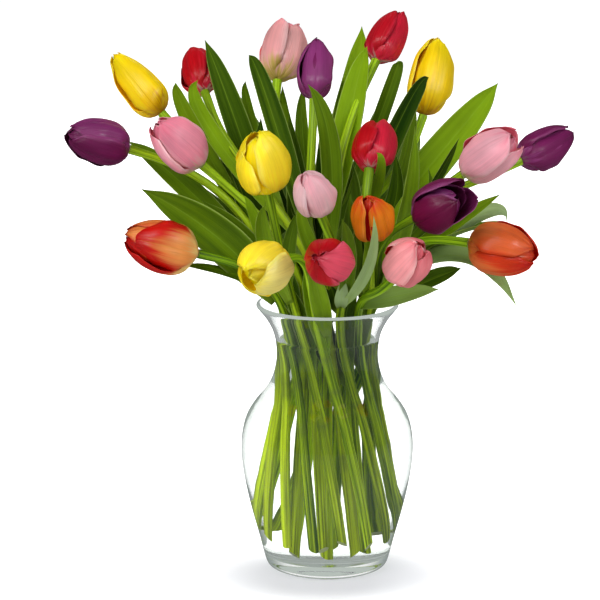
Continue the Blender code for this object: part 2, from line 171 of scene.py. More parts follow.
# Small leaves that are looks only: the tulip whose stem they leave, the height where they leave it,
# a point at half their length and the tip, all in millimetres, their width, the way their hollow side
# faces, and their tone.
Leaf = namedtuple("Leaf", "tulip height middle tip width face tone")
# As for the large leaves, a small leaf's tone is partly its own green and partly painted light and shade.
SMALL_LEAVES = (
    Leaf(19, 222, (104, -16, 262), (139, -24, 263), 19, (-20, 60), 0.75),
    Leaf(14, 208, (10, -55, 222), (11, -62, 237), 11, (-90, 0), 1.4),
    Leaf(7, 262, (18, 35, 346), (30, 45, 392), 22, (-100, 5), 1.0),
    Leaf(14, 208, (14, -84, 256), (9, -112, 290), 13, (-80, 5), 0.5),
    Leaf(14, 209, (29, -104, 254), (31, -132, 296), 9, (-100, 5), 1.35),
    Leaf(16, 170, (-9, -34, 214), (-18, -50, 238), 19, (-95, 5), 0.95),
    Leaf(7, 240, (44, 50, 350), (53, 55, 378), 14, (-70, 5), 0.35),
    Leaf(3, 256, (-89, 26, 333), (-97, 34, 368), 14, (-80, 5), 0.85),
    Leaf(1, 214, (-79, 22, 258), (-112, 32, 296), 34, (-110, 25), 0.3),
    Leaf(2, 208, (-62, 4, 246), (-94, 8, 281), 26, (-100, 30), 0.45),
    Leaf(19, 214, (108, -6, 270), (134, 2, 266), 16, (-60, 40), 1.4),
    Leaf(18, 209, (53, -52, 221), (81, -62, 228), 16, (-80, 30), 1.2),
    Leaf(17, 214, (48, -20, 262), (62, -24, 298), 14, (-100, 5), 0.9),
    Leaf(13, 214, (-14, -56, 262), (-20, -62, 296), 12, (-80, 0), 0.75),
    Leaf(18, 214, (21, -70, 251), (20, -75, 284), 9, (-70, 10), 0.35),
    Leaf(18, 220, (29, -74, 257), (32, -72, 290), 8, (-90, 10), 0.8),
    Leaf(20, 214, (-76, -20, 230), (-108, -30, 239), 14, (-120, 60), 0.5),
    Leaf(12, 222, (-29, -40, 253), (-21, -50, 286), 12, (-90, 0), 0.45),
    Leaf(7, 250, (7, 40, 321), (12, 45, 368), 13, (-70, 10), 0.55),
    Leaf(5, 250, (-18, 50, 319), (-17, 60, 360), 12, (-110, 10), 0.4),
    Leaf(19, 230, (76, -10, 292), (97, -5, 330), 9, (-60, 10), 0.15),
    Leaf(2, 240, (-71, 20, 286), (-79, 25, 323), 10, (-110, 10), 0.35),
    Leaf(2, 224, (-52, -10, 266), (-62, -15, 289), 10, (-100, 20), 0.85),
    Leaf(3, 270, (-57, 60, 333), (-62, 70, 362), 9, (-100, 0), 0.5),
    Leaf(10, 240, (37, -40, 305), (35, -50, 327), 9, (-90, 10), 0.7),
    Leaf(13, 220, (14, -58, 264), (16, -62, 300), 10, (-90, 0), 0.3),
    Leaf(5, 280, (-31, 75, 323), (-34, 88, 356), 10, (-80, 10), 0.6),
    Leaf(7, 230, (30, 62, 300), (42, 88, 345), 20, (90, 10), 0.4),
    Leaf(3, 232, (-52, 62, 285), (-74, 88, 322), 20, (110, 10), 0.3),
    Leaf(6, 226, (-4, 66, 270), (-6, 96, 306), 22, (90, 20), 0.5),
    Leaf(8, 234, (62, 48, 285), (90, 72, 318), 18, (70, 20), 0.45),
    Leaf(1, 208, (-58, 22, 267), (-74, 32, 317), 24, (-60, 10), 0.2),
    Leaf(5, 205, (-39, 24, 279), (-50, 34, 340), 22, (-110, 5), 0.1),
    Leaf(6, 205, (-21, 18, 267), (-29, 28, 346), 22, (-75, 10), 0.3),
    Leaf(6, 212, (-2, 24, 267), (-5, 32, 338), 22, (-115, 5), 0.15),
    Leaf(7, 205, (17, 16, 264), (12, 28, 318), 20, (-80, 10), 0.3),
    Leaf(8, 205, (43, 22, 256), (50, 30, 317), 20, (-115, 10), 0.2),
    Leaf(8, 215, (62, 16, 252), (76, 26, 302), 18, (-60, 10), 0.4),
    Leaf(2, 205, (-70, 18, 233), (-94, 26, 266), 20, (-100, 40), 0.15),
    Leaf(10, 205, (70, 18, 238), (92, 28, 265), 18, (-70, 40), 0.3),
    Leaf(13, 196, (0, 2, 228), (3, 6, 268), 20, (-90, 10), 0.12),
    Leaf(12, 200, (-30, -4, 221), (-44, -2, 256), 18, (-110, 10), 0.2),
    Leaf(17, 200, (34, -8, 226), (44, -10, 262), 18, (-70, 10), 0.15),
    Leaf(12, 150, (-20, -22, 198), (-41, -29, 236), 14, (-100, 0), 0.35),
    Leaf(14, 152, (13, -26, 195), (24, -34, 240), 15, (-85, 0), 0.25),
    Leaf(18, 150, (24, -14, 192), (52, -24, 228), 16, (-70, 0), 0.45),
    Leaf(20, 152, (-25, -9, 198), (-56, -15, 230), 14, (-110, 0), 0.3),
    Leaf(13, 140, (-4, -10, 190), (-8, -14, 240), 18, (-90, 0), 0.15),
)

# A petal's midline at rest in a closed and in a spread bloom: share of the bloom's radius and of its
# length, from where it leaves the stem to its tip; then its half width along it.
CLOSED_MIDLINE = (
    (0.10, 0.0), (0.62, 0.07), (0.93, 0.22), (1.0, 0.40), (0.97, 0.58),
    (0.83, 0.76), (0.54, 0.92), (0.28, 1.0),
)
SPREAD_MIDLINE = (
    (0.10, 0.0), (0.46, 0.07), (0.70, 0.22), (0.83, 0.40), (0.92, 0.58),
    (1.0, 0.76), (1.04, 0.92), (1.07, 1.0),
)
PETAL_HALF_WIDTH = (0.28, 0.64, 0.86, 0.97, 1.0, 0.96, 0.84, 0.60, 0.06)
Petal = namedtuple("Petal", "spread tall inner")
PETALS = 6
TAPER = 0.6  # share of its width that a bloom with a taper of 1 loses toward its top
OUTER_WIDTH = 1.12  # outer petals are wider than their share of the circle, and lap over the inner ones
INNER_RADIUS = 0.84  # inner petals stand inside the outer ones, and lean in toward their tips
INNER_LEAN = 0.06
BLOOM_FILL = 0.97  # share of the CAD bloom's radius that the petals' midlines reach
MOST_CURL = 1.45  # radians that a petal bends round the bloom to each side
LEAST_HALF_WIDTH = 0.4 * MM
FOLD_HEIGHT = 0.35 * MM
PETAL_LAP = 1.6 * MM  # one edge of a petal stands out and the other in by this much
CREASE_DEPTH = 0.9 * MM
RAGGED_TIP = 1.3 * MM
PISTIL_LENGTH = 0.42  # share of the bloom's length
PISTIL_RADIUS = 2.6 * MM
PISTIL_SHAPE = (0.8, 0.95, 1.05, 1.1, 1.05, 0.95, 0.85, 0.9, 0.7)

STEM_EASING = 16
STEM_SWELL = 0.05
BLOOM_SEAT = 0.6 * MM  # how much wider a stem is where its bloom sits
SCARS = 2
SCAR_PLACES = (0.12, 0.85)  # the first and last share of a stem where a leaf scar can be
SCAR_LENGTH = 0.012
SLANT_EASES = (1.0, 0.5, 0.15)  # share of the cut's slant in each of the lowest rings
CUT_HOLLOW = 0.6 * MM

LEAF_BOWL = 0.10  # how far each half of a leaf hangs between midrib and edge, as a share of its width
LEAF_WAVE = 0.05
LEAF_WIDEST = 0.42  # share of a small leaf's length where it is widest
LEAF_FOOT = 0.34  # its width where it leaves its stem, as a share of its full width
LEAF_FOLD = 0.4  # how far its edges stand above its midrib, as a share of its half width

# Each plant surface: height of its relief in metres, share of light that passes through, and its shine
Finish = namedtuple("Finish", "relief glow specular")
PETAL_FINISH = Finish(0.0004, 0.34, 0.34)
LEAF_FINISH = Finish(0.0003, 0.16, 0.18)
STEM_FINISH = Finish(0.0003, 0.0, 0.12)
CENTRE_FINISH = Finish(0.0002, 0.0, 0.3)

# Each clear substance: how much it bends light, its tint, its waves' height in metres and fineness, and
# how smudged it is
Clear = namedtuple("Clear", "ior tint relief wave_size smudge")
GLASS = Clear(1.5, (0.985, 0.995, 0.99, 1.0), 0.0002, 40.0, 0.01)
WATER = Clear(1.333, (0.99, 1.0, 0.99, 1.0), 0.0003, 25.0, 0.0)
# Where light has met this many surfaces, or was mirrored this often, the glass shows a painted pale glow
# instead, an emission in place of the lost light, seen as pale edges.
TRAPPED_BOUNCES = 9.5
TRAPPED_MIRRORINGS = 1.5
TRAPPED_PAINTED_GLOW = "#B9C2BB"

# The room as it shows to the camera, through the glass, in mirrors and as light on the plants
BACKDROP = "#FFFFFF"
SIDE_WALLS = "#9AA3A0"
FRONT_WALL = "#8E9492"
ROOM_LIGHT = "#9EA2A3"
ROOM_IN_MIRRORS = "#4A4E50"
FLOOR_IN_MIRRORS = "#5A5E60"
# The floor's shade under the vase is a painted shadow of this colour, its middle set forward by
# SHADE_FORWARD.
FLOOR_SHADE = "#A6A6AA"
FLOOR_GLOW = 0.72
SHADE_FORWARD = 0.03  # metres from the vase's axis to the middle of the shade, toward the front

# Each lamp: its place and what it points at in metres, its size, and its share of its setting's power
Lamp = namedtuple("Lamp", "place target size share")
SHEEN_LAMPS = {
    "sheen left": Lamp((-0.9, -1.5, 1.5), (0, 0, 0.25), 0.35, 1.0),
    "sheen right": Lamp((1.0, -1.5, 1.3), (0, 0, 0.25), 0.35, 1.0),
}
ROOM_LAMPS = {
    "key": Lamp((-1.3, -1.7, 2.0), (0, 0, 0.2), 2.2, 1.0),
    "fill": Lamp((1.7, -1.2, 1.3), (0, 0, 0.2), 1.8, 0.32),
    "back": Lamp((0.2, 1.8, 1.6), (0, 0, 0.25), 1.4, 0.5),
}
CAMERA_PLACE = (-0.0206, -2.2, 0.69)
CAMERA_DIP = 12.4  # degrees below level
CAMERA_LENS = 180.0
CAMERA_SENSOR = 36.0


class StemSettings(bpy.types.PropertyGroup):
    sides: bpy.props.IntProperty(name="Sides", description="Points around each stem", default=16, min=6)
    rings: bpy.props.IntProperty(
        name="Rings", description="Rings of points along each stem", default=70, min=15)
    cut_slant: bpy.props.FloatProperty(
        name="Cut slant", description="Slope of the cut end", default=0.75, subtype="FACTOR")
    scar_height: bpy.props.FloatProperty(
        name="Scar height", description="How far a leaf scar stands out from the stem", default=0.0004,
        unit="LENGTH", subtype="DISTANCE", precision=5)


class PetalSettings(bpy.types.PropertyGroup):
    thickness: bpy.props.FloatProperty(
        name="Thickness", description="Thickness of a petal at its middle", default=0.0008,
        unit="LENGTH", subtype="DISTANCE", precision=5)
    ripple: bpy.props.FloatProperty(
        name="Ripple", description="Height of the waves in a petal's edge", default=0.0011,
        unit="LENGTH", subtype="DISTANCE", precision=5)
    rows: bpy.props.IntProperty(name="Rows", description="Rows of points along each petal", default=26, min=8)
    columns: bpy.props.IntProperty(name="Columns", description="Points across each petal", default=17, min=7)


class LeafSettings(bpy.types.PropertyGroup):
    thickness: bpy.props.FloatProperty(
        name="Thickness", description="Thickness of a leaf at its midrib", default=0.0009,
        unit="LENGTH", subtype="DISTANCE", precision=5)
    rows: bpy.props.IntProperty(name="Rows", description="Rows of points along each leaf", default=40, min=9)
    columns: bpy.props.IntProperty(name="Columns", description="Points across each leaf", default=13, min=5)


class VaseSettings(bpy.types.PropertyGroup):
    segments: bpy.props.IntProperty(name="Segments", description="Faces around the vase", default=128, min=32)
    water_bite: bpy.props.FloatProperty(
        name="Water overlap", description="How far the water reaches into the glass, so that no gap shows",
        default=0.0002, unit="LENGTH", subtype="DISTANCE", precision=5)


class StageSettings(bpy.types.PropertyGroup):
    inner_mirror: bpy.props.FloatProperty(
        name="Inner mirror", description="Share of the room's light in reflections inside the glass",
        default=0.2, subtype="FACTOR", min=0.0, max=1.0)
    floor_size: bpy.props.FloatProperty(
        name="Floor size", description="Side of the white floor", default=16.0,
        unit="LENGTH", subtype="DISTANCE")
    # The painted shadow under the vase: how far it reaches to the sides, and to the front and back.
    shade_width: bpy.props.FloatProperty(
        name="Shade width", description="How far the soft shade under the vase reaches to each side",
        default=0.16, unit="LENGTH", subtype="DISTANCE")
    shade_depth: bpy.props.FloatProperty(
        name="Shade depth", description="How far it reaches to the front and back",
        default=0.105, unit="LENGTH", subtype="DISTANCE")
    key_power: bpy.props.FloatProperty(
        name="Key light", description="Power of the large lamp in front, which the others follow",
        default=64.0, unit="POWER")
    sheen_power: bpy.props.FloatProperty(
        name="Sheen light", description="Power of each lamp that gives blooms and stems their sheen",
        default=24.0,
        unit="POWER")


# ---------------------------------------------------------------- reading the frame


def read_node(name):
    """The points of one CAD piece, welded where they meet, and for each point those it is joined to."""
    mesh = frame["nodes"][name].data
    mesh.calc_loop_triangles()
    raw = np.array([v.co for v in mesh.vertices])
    keys, first, index = np.unique(
        np.round(raw * 1e5).astype(int), axis=0, return_index=True, return_inverse=True)
    near = [set() for _ in keys]
    for triangle in mesh.loop_triangles:
        corners = [int(index.reshape(-1)[v]) for v in triangle.vertices]
        for a, b in zip(corners, corners[1:] + corners[:1]):
            if a != b:
                near[a].add(b)
                near[b].add(a)
    return raw[first], near


def rows_from(row, near):
    """Rows of points, each joined to the one before it, starting with this one."""
    rows, seen = [sorted(row)], set(row)
    while True:
        row = {n for p in rows[-1] for n in near[p]} - seen
        if not row:
            return rows
        rows.append(sorted(row))
        seen |= row


def stem_line(name):
    """The middle of a CAD stem, from its cut end up, and its radius, at each ring of its points."""
    points, near = read_node(name)
    rows = rows_from(np.argsort(points[:, 2])[:6].tolist(), near)
    if any(len(row) != 6 for row in rows):
        raise RuntimeError(f"{name} isn't a stem of six-sided rings")
    middles = np.array([points[row].mean(axis=0) for row in rows])
    radii = np.array([np.linalg.norm(points[row] - m, axis=1).mean() for row, m in zip(rows, middles)])
    return middles, radii


def nearest_six(points, start):
    return np.argsort(np.linalg.norm(points - points[start], axis=1))[:6].tolist()


def leaf_rows(name):
    """A CAD leaf as rows of three points, left, midrib and right, from its stem to its tip."""
    points, near = read_node(name)
    far = int(np.argmax(np.linalg.norm(points - points.mean(axis=0), axis=1)))
    other = int(np.argmax(np.linalg.norm(points - points[far], axis=1)))
    ends = [nearest_six(points, far), nearest_six(points, other)]
    narrow_end = min(ends, key=lambda six: np.ptp(points[six], axis=0).sum())
    rows = rows_from(narrow_end, near)[::-1]
    if any(len(row) != 6 for row in rows):
        raise RuntimeError(f"{name} isn't a leaf of three points across")
    result, side = [], None
    for row in rows:
        here = points[row]
        spread = np.linalg.svd(here - here.mean(axis=0))[2][0]
        if side is None or np.ptp(here @ side) > LEAST_LEAF_WIDTH:
            side = spread if side is None or spread @ side > 0 else -spread
        order = np.argsort(here @ side)
        result.append([here[order[k:k + 2]].mean(axis=0) for k in (0, 2, 4)])
    return np.array(result)


def vase_profile():
    """Half the vase's outline in millimetres, (radius, height), from the edge of its foot to its floor."""
    points, near = read_node("vase")
    angle = np.arctan2(points[:, 1], points[:, 0])
    radius = np.hypot(points[:, 0], points[:, 1])
    line = {i for i in range(len(points)) if abs(angle[i]) < 1e-3 and radius[i] > 1e-6}
    here = min(line, key=lambda i: (round(points[i, 2], 6), radius[i]))
    order = [here]
    while True:
        ahead = [n for n in near[here] & line if n not in order]
        if not ahead:
            break
        here = min(ahead, key=lambda n: abs(points[n, 2] - points[here, 2]) + abs(radius[n] - radius[here]))
        order.append(here)
    return [(radius[i] / MM, points[i, 2] / MM) for i in order]


# ---------------------------------------------------------------- shapes


def unit(vector):
    return vector / max(np.linalg.norm(vector), 1e-12)


def unit_rows(vectors):
    return vectors / np.linalg.norm(vectors, axis=1)[:, None]


def past(share, start, length):
    """How far a share is past a start, from 0 there to 1 after this length."""
    return np.clip((share - start) / length, 0, 1)


def evenly_spread(points, number):
    """This number of points at even distances along a line of points."""
    run = np.concatenate([[0], np.cumsum(np.linalg.norm(np.diff(points, axis=0), axis=1))])
    at = np.linspace(0, run[-1], number)
    return np.stack([np.interp(at, run, points[:, k]) for k in range(points.shape[1])], axis=1)


def eased_line(line, count, window):
    """The line with its points evenly spread and its kinks eased over a window of 400 points along it."""
    dense = 400
    points = evenly_spread(np.asarray(line, float), dense)
    reach = np.minimum(np.minimum(np.arange(dense), np.arange(dense)[::-1]), window)
    total = np.concatenate([np.zeros((1, points.shape[1])), np.cumsum(points, axis=0)])
    low, high = np.arange(dense) - reach, np.arange(dense) + reach + 1
    return evenly_spread((total[high] - total[low]) / (high - low)[:, None], count)


def curve_through(values, at):
    """Values spread evenly over 0 to 1, read at the shares given, along a smooth curve through them."""
    values = np.asarray(values, float)
    last = len(values) - 1
    slopes = np.gradient(values, axis=0)
    place = np.clip(np.asarray(at, float), 0, 1) * last
    low = np.minimum(place.astype(int), last - 1)
    t = (place - low).reshape((-1,) + (1,) * (values.ndim - 1))
    a, b, m, n = values[low], values[low + 1], slopes[low], slopes[low + 1]
    return (2*t**3 - 3*t**2 + 1) * a + (t**3 - 2*t**2 + t) * m + (3*t**2 - 2*t**3) * b + (t**3 - t**2) * n


def carried_frames(line):
    """Two directions across the line at each of its points, turning as little as they can along it."""
    along = unit_rows(np.gradient(line, axis=0))
    first = np.zeros_like(line)
    side = unit(np.cross(along[0], (0.0, 1.0, 0.0)))
    for i, direction in enumerate(along):
        side = unit(side - direction * (side @ direction))
        first[i] = side
    return along, first, np.cross(along, first)


def rings_round(line, radii, side, cross, turn):
    """A ring of points round each point of a line, at these turns."""
    return line[:, None] + radii[:, None, None] * (
        np.cos(turn)[None, :, None] * side[:, None] + np.sin(turn)[None, :, None] * cross[:, None])


def sheet_faces(rows, columns):
    number = np.arange(rows * columns).reshape(rows, columns)
    return np.stack([number[:-1, :-1], number[:-1, 1:], number[1:, 1:], number[1:, :-1]], -1).reshape(-1, 4)


def ring_faces(rings, sides):
    """Faces between closed rings of points, one ring after the other."""
    faces = []
    for start in range(0, (rings - 1) * sides, sides):
        for i in range(sides):
            ahead = (i + 1) % sides
            faces.append([start + i, start + ahead, start + sides + ahead, start + sides + i])
    return faces


def sheet_coordinates(across, share):
    """Coordinates over a petal or leaf, each from 0 to 1."""
    return np.stack(np.broadcast_arrays(across[None] / 2 + 0.5, share[:, None]), -1)


class Skin:
    """Gathers the points and faces of one piece, with the coordinates and values its material reads."""

    def __init__(self, *values):
        self.points, self.faces, self.coordinates = [], [], []
        self.values = {name: [] for name in values}
        self.count = 0

    def add(self, points, faces, coordinates, **values):
        points = np.asarray(points, float).reshape(-1, 3)
        self.points.append(points)
        self.coordinates.append(np.asarray(coordinates, float).reshape(-1, 2))
        self.faces += [[self.count + i for i in face] for face in faces]
        for name, value in values.items():
            self.values[name].append(np.broadcast_to(np.asarray(value, float).reshape(-1), len(points)))
        self.count += len(points)

    def add_sheet(self, upper, lower, coordinates, **values):
        """Two sides of a petal or leaf, rows by columns, closed round their rim."""
        rows, columns = upper.shape[:2]
        number = np.arange(rows * columns).reshape(rows, columns)
        top = sheet_faces(rows, columns)
        rim = np.concatenate([number[0, :-1], number[:-1, -1], number[-1, :0:-1], number[:0:-1, 0]])
        under = rows * columns
        faces = top.tolist() + (top[:, ::-1] + under).tolist()
        faces += [[int(b), int(a), int(a) + under, int(b) + under] for a, b in zip(rim, np.roll(rim, -1))]
        side = np.concatenate([np.zeros(under), np.ones(under)])
        self.add(np.concatenate([upper.reshape(-1, 3), lower.reshape(-1, 3)]), faces,
                 np.concatenate([coordinates.reshape(-1, 2)] * 2), inside=side, **values)

    def finished(self, name, material):
        mesh = bpy.data.meshes.new(name)
        mesh.from_pydata(np.concatenate(self.points).tolist(), [], self.faces)
        corners = np.empty(len(mesh.loops), int)
        mesh.loops.foreach_get("vertex_index", corners)
        where = np.concatenate(self.coordinates)[corners]
        mesh.uv_layers.new(name="Run").data.foreach_set("uv", where.ravel())
        for value, parts in self.values.items():
            mesh.attributes.new(value, "FLOAT", "POINT").data.foreach_set("value", np.concatenate(parts))
        mesh.shade_smooth()
        mesh.materials.append(material)
        piece = bpy.data.objects.new(name, mesh)
        bpy.context.scene.collection.objects.link(piece)
        return piece


def placed(piece, node=None):
    """Joins a finished piece to the frame."""
    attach(piece, BODY)
    if node:
        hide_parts(node)
    return piece


# ---------------------------------------------------------------- materials


def colour(code):
    """The linear colour of a screen colour such as #C80012."""
    parts = [int(code[i:i + 2], 16) / 255 for i in (1, 3, 5)]
    return tuple(c / 12.92 if c <= 0.04045 else ((c + 0.055) / 1.055) ** 2.4 for c in parts) + (1.0,)


class Tree:
    """Adds nodes to a material or group and joins them."""

    def __init__(self, tree):
        self.tree = tree

    def node(self, kind, inputs=None, **settings):
        node = self.tree.nodes.new("ShaderNode" + kind)
        node.location = (180 * (len(self.tree.nodes) % 12), -220 * (len(self.tree.nodes) // 12))
        for name, value in settings.items():
            setattr(node, name, value)
        for key, value in (inputs or {}).items():
            if isinstance(value, bpy.types.NodeSocket):
                self.tree.links.new(value, node.inputs[key])
            else:
                node.inputs[key].default_value = value
        return node

    def math(self, operation, first, second=0.0):
        return self.node("Math", {0: first, 1: second}, operation=operation).outputs[0]

    def step(self, value, low, high, to_low=0.0, to_high=1.0):
        """A smooth step from one value to another."""
        return self.node("MapRange", {"Value": value, "From Min": low, "From Max": high, "To Min": to_low,
                                      "To Max": to_high}, interpolation_type="SMOOTHSTEP").outputs["Result"]

    def mix(self, share, first, second):
        return self.node("Mix", {0: share, 6: first, 7: second}, data_type="RGBA").outputs[2]

    def brighten(self, shade, amount):
        """The shade times a value near 1."""
        return self.node("HueSaturation", {"Color": shade, "Value": amount}).outputs["Color"]

    def value(self, name):
        return self.node("Attribute", attribute_name=name).outputs["Fac"]

    def run(self):
        """Across and along coordinates of a stem, petal or leaf, each from 0 to 1."""
        split = self.node("SeparateXYZ", {0: self.node("UVMap", uv_map="Run").outputs["UV"]})
        return split.outputs["X"], split.outputs["Y"]

    def noise(self, place, scale, detail=2.0):
        return self.node("TexNoise", {"Vector": place, "Scale": scale, "Detail": detail}).outputs["Fac"]

    def streaks(self, across, along, seed, fine, long, detail=3.0):
        """Noise drawn out along the piece."""
        place = self.node("CombineXYZ", {
            0: self.math("MULTIPLY", across, fine), 1: self.math("MULTIPLY", along, long),
            2: self.math("MULTIPLY", seed, 23.0)})
        return self.noise(place.outputs[0], 1.0, detail)

    def swing(self, noise, amount):
        """A noise's swing to either side of its middle, times an amount."""
        return self.math("MULTIPLY", self.math("SUBTRACT", noise, 0.5), amount)

    def off_middle(self, across):
        """0 at the midrib of a petal or leaf and 1 at its edges."""
        return self.math("MULTIPLY", self.math("ABSOLUTE", self.math("SUBTRACT", across, 0.5)), 2.0)

    def give(self, out, **values):
        """Joins values to the group's outputs of the same names."""
        for name, value in values.items():
            self.tree.links.new(value, out.inputs[name])
        return self.tree


SKIN_OUTPUTS = [("Color", "Color"), ("Roughness", "Float"), ("Height", "Float")]


def new_group(name, inputs, outputs):
    """A node group with these sockets, each a name with its kind and default, ready to be filled."""
    tree = bpy.data.node_groups.new(name, "ShaderNodeTree")
    for socket, kind, default in inputs:
        made = tree.interface.new_socket(socket, in_out="INPUT", socket_type="NodeSocket" + kind)
        made.default_value = default
    for socket, kind in outputs:
        tree.interface.new_socket(socket, in_out="OUTPUT", socket_type="NodeSocket" + kind)
    return Tree(tree), tree.nodes.new("NodeGroupInput"), tree.nodes.new("NodeGroupOutput")


PETAL_SHADES = ("Base", "Body", "Tip", "Edge", "Flame", "Inside")


def petal_group():
    """Colour, roughness and relief of a petal, from its base to its tip."""
    white = (1.0, 1.0, 1.0, 1.0)
    shades = [(name, "Color", white) for name in PETAL_SHADES]
    g, given, out = new_group(
        "Petal Skin", shades + [("Base Reach", "Float", 0.2), ("Flame Reach", "Float", 0.5)],
        SKIN_OUTPUTS)
    across, along = g.run()
    seed, inside = g.value("seed"), g.value("inside")
    off_middle = g.off_middle(across)
    veins = g.streaks(across, along, seed, 46.0, 1.6)
    broad = g.streaks(across, along, seed, 7.0, 1.3, 1.0)
    cloudy = g.streaks(across, along, seed, 2.4, 2.2, 2.0)
    feather = g.math("ADD", g.swing(broad, 0.5),
                     g.swing(veins, 0.35))
    climb = g.math("ADD", along, feather)
    shade = g.mix(g.step(climb, 0.62, 1.05), given.outputs["Body"], given.outputs["Tip"])
    rise = g.math("ADD", climb, g.math("MULTIPLY", g.math("POWER", off_middle, 2.0), 0.5))
    reach = given.outputs["Flame Reach"]
    flame = g.step(rise, g.math("MULTIPLY", reach, 0.6), g.math("MULTIPLY", reach, 1.2), 1.0, 0.0)
    # The tint lays the flame colour over a whole petal, fading toward its tip; on bloom 15 that colour is a
    # painted highlight.
    tint = g.math("MULTIPLY", g.value("tint"), g.step(climb, 0.75, 1.05, 1.0, 0.35))
    shade = g.mix(g.math("MAXIMUM", flame, tint), shade, given.outputs["Flame"])
    shade = g.mix(g.math("MULTIPLY", g.step(g.math("ADD", off_middle, feather), 0.72, 1.1), 0.75), shade,
                  given.outputs["Edge"])
    inner = g.mix(g.step(climb, 0.45, 1.0, 1.0, 0.35), shade, given.outputs["Inside"])
    shade = g.mix(inside, shade, inner)
    base_start = g.math("MULTIPLY", given.outputs["Base Reach"], 0.2)
    base = g.step(climb, base_start, given.outputs["Base Reach"], 1.0, 0.0)
    shade = g.mix(base, shade, given.outputs["Base"])
    lively = g.math("ADD", g.swing(veins, 0.40),
                    g.swing(cloudy, 0.55))
    shade = g.brighten(shade, g.math("ADD", 1.0, lively))
    rib = g.step(off_middle, 0.0, 0.10, 1.0, 0.0)
    return g.give(
        out, Color=shade, Roughness=g.step(veins, 0.2, 0.8, 0.27, 0.38),
        Height=g.math("SUBTRACT", veins, g.math("MULTIPLY", rib, 0.5)))


def leaf_group():
    """Colour, roughness and relief of a leaf, its fine lines running from its base to its tip; its tone is
    partly painted light and shade.
    """
    g, given, out = new_group(
        "Leaf Skin", [("Dark", "Color", colour("#1A3A02")), ("Pale", "Color", colour("#84A80E")),
                      ("Underside", "Color", colour("#86A650"))],
        SKIN_OUTPUTS)
    across, along = g.run()
    seed, under, tone = g.value("seed"), g.value("inside"), g.value("tone")
    off_middle = g.off_middle(across)
    lines = g.streaks(across, along, seed, 70.0, 0.9, 2.0)
    broad = g.streaks(across, along, seed, 6.0, 1.2, 2.0)
    cloudy = g.streaks(across, along, seed, 2.0, 3.4, 2.0)
    # The tone picks between dark and pale green: partly the leaf's own green, and partly painted shade and
    # painted light.
    share = g.math("ADD", tone, g.swing(broad, 0.55))
    shade = g.mix(g.step(share, -0.1, 1.1), given.outputs["Dark"], given.outputs["Pale"])
    shade = g.mix(g.step(tone, 1.0, 1.5), shade, colour("#A6BE86"))
    shade = g.mix(g.step(along, 0.0, 0.22, 0.6, 0.0), shade, colour("#9CBC38"))
    shade = g.mix(g.math("MULTIPLY", under, 0.55), shade, given.outputs["Underside"])
    shade = g.mix(g.step(off_middle, 0.90, 1.0, 0.0, 0.6), shade, colour("#B4CC6A"))
    shade = g.mix(g.step(off_middle, 0.0, 0.07, 0.35, 0.0), shade, colour("#8CB030"))
    lively = g.math("ADD", g.swing(lines, 0.42),
                    g.swing(cloudy, 0.36))
    return g.give(
        out, Color=g.brighten(shade, g.math("ADD", 1.0, lively)),
        Roughness=g.step(cloudy, 0.2, 0.8, 0.34, 0.52),
        Height=lines)


def stem_group():
    """Colour, roughness and relief of a stem, with its ridges, its scars and its fresh cut end, and painted
    highlights and shade round it.
    """
    g, given, out = new_group(
        "Stem Skin", [("Low", "Color", colour("#C2D622")), ("High", "Color", colour("#7C9C14")),
                      ("Deep", "Color", colour("#4C7404"))],
        SKIN_OUTPUTS)
    across, along = g.run()
    seed, scar, cut = g.value("seed"), g.value("scar"), g.value("cut")
    round_place = g.node("CombineXYZ", {
        0: g.math("MULTIPLY", g.math("SINE", g.math("MULTIPLY", across, math.tau)), 1.3),
        1: g.math("MULTIPLY", g.math("COSINE", g.math("MULTIPLY", across, math.tau)), 1.3),
        2: g.math("ADD", g.math("MULTIPLY", along, 2.0), g.math("MULTIPLY", seed, 31.0))})
    ridges = g.noise(round_place.outputs[0], 1.6, 3.0)
    mottle = g.noise(round_place.outputs[0], 5.0)
    # Paler low down, where the stem stands in the water: partly its own paler colour near the cut, and partly
    # painted light for the light that the glass holds back.
    shade = g.mix(along, given.outputs["Low"], given.outputs["High"])
    shade = g.mix(g.step(g.math("ADD", ridges, g.math("MULTIPLY", seed, 0.35)), 0.45, 1.05), shade,
                  given.outputs["Deep"])
    shade = g.mix(g.math("MULTIPLY", scar, 0.65), shade, colour("#6E7F2A"))
    shade = g.mix(cut, shade, colour("#D6DDA0"))
    # Painted highlights and painted shade: the ridge noise brightens and darkens broad bands round each stem,
    # and each stem's seed paints it brighter, as if lit, or a little darker as a whole.
    lively = g.math("MULTIPLY", g.step(mottle, 0.3, 0.7, 0.9, 1.12), g.step(ridges, 0.35, 0.65, 1.4, 0.72))
    own = g.step(g.math("FRACT", g.math("MULTIPLY", seed, 7.3)), 0.0, 1.0, 0.85, 1.35)
    shade = g.brighten(shade, g.math("MULTIPLY", lively, own))
    return g.give(
        out, Color=shade, Roughness=g.step(mottle, 0.3, 0.7, 0.34, 0.5),
        Height=ridges)


def centre_group():
    """Colour and roughness of a bloom's centre: a pale pistil and dusty stamens."""
    g, given, out = new_group(
        "Centre Skin", [("Pistil", "Color", colour("#C9CF8A")), ("Dust", "Color", colour("#4A3350"))],
        SKIN_OUTPUTS)
    grain = g.noise(g.node("TexCoord").outputs["Object"], 900.0)
    shade = g.mix(g.value("dust"), given.outputs["Pistil"], given.outputs["Dust"])
    return g.give(
        out, Color=g.brighten(shade, g.step(grain, 0.3, 0.7, 0.8, 1.2)),
        Roughness=g.step(grain, 0.3, 0.7, 0.5, 0.8),
        Height=grain)


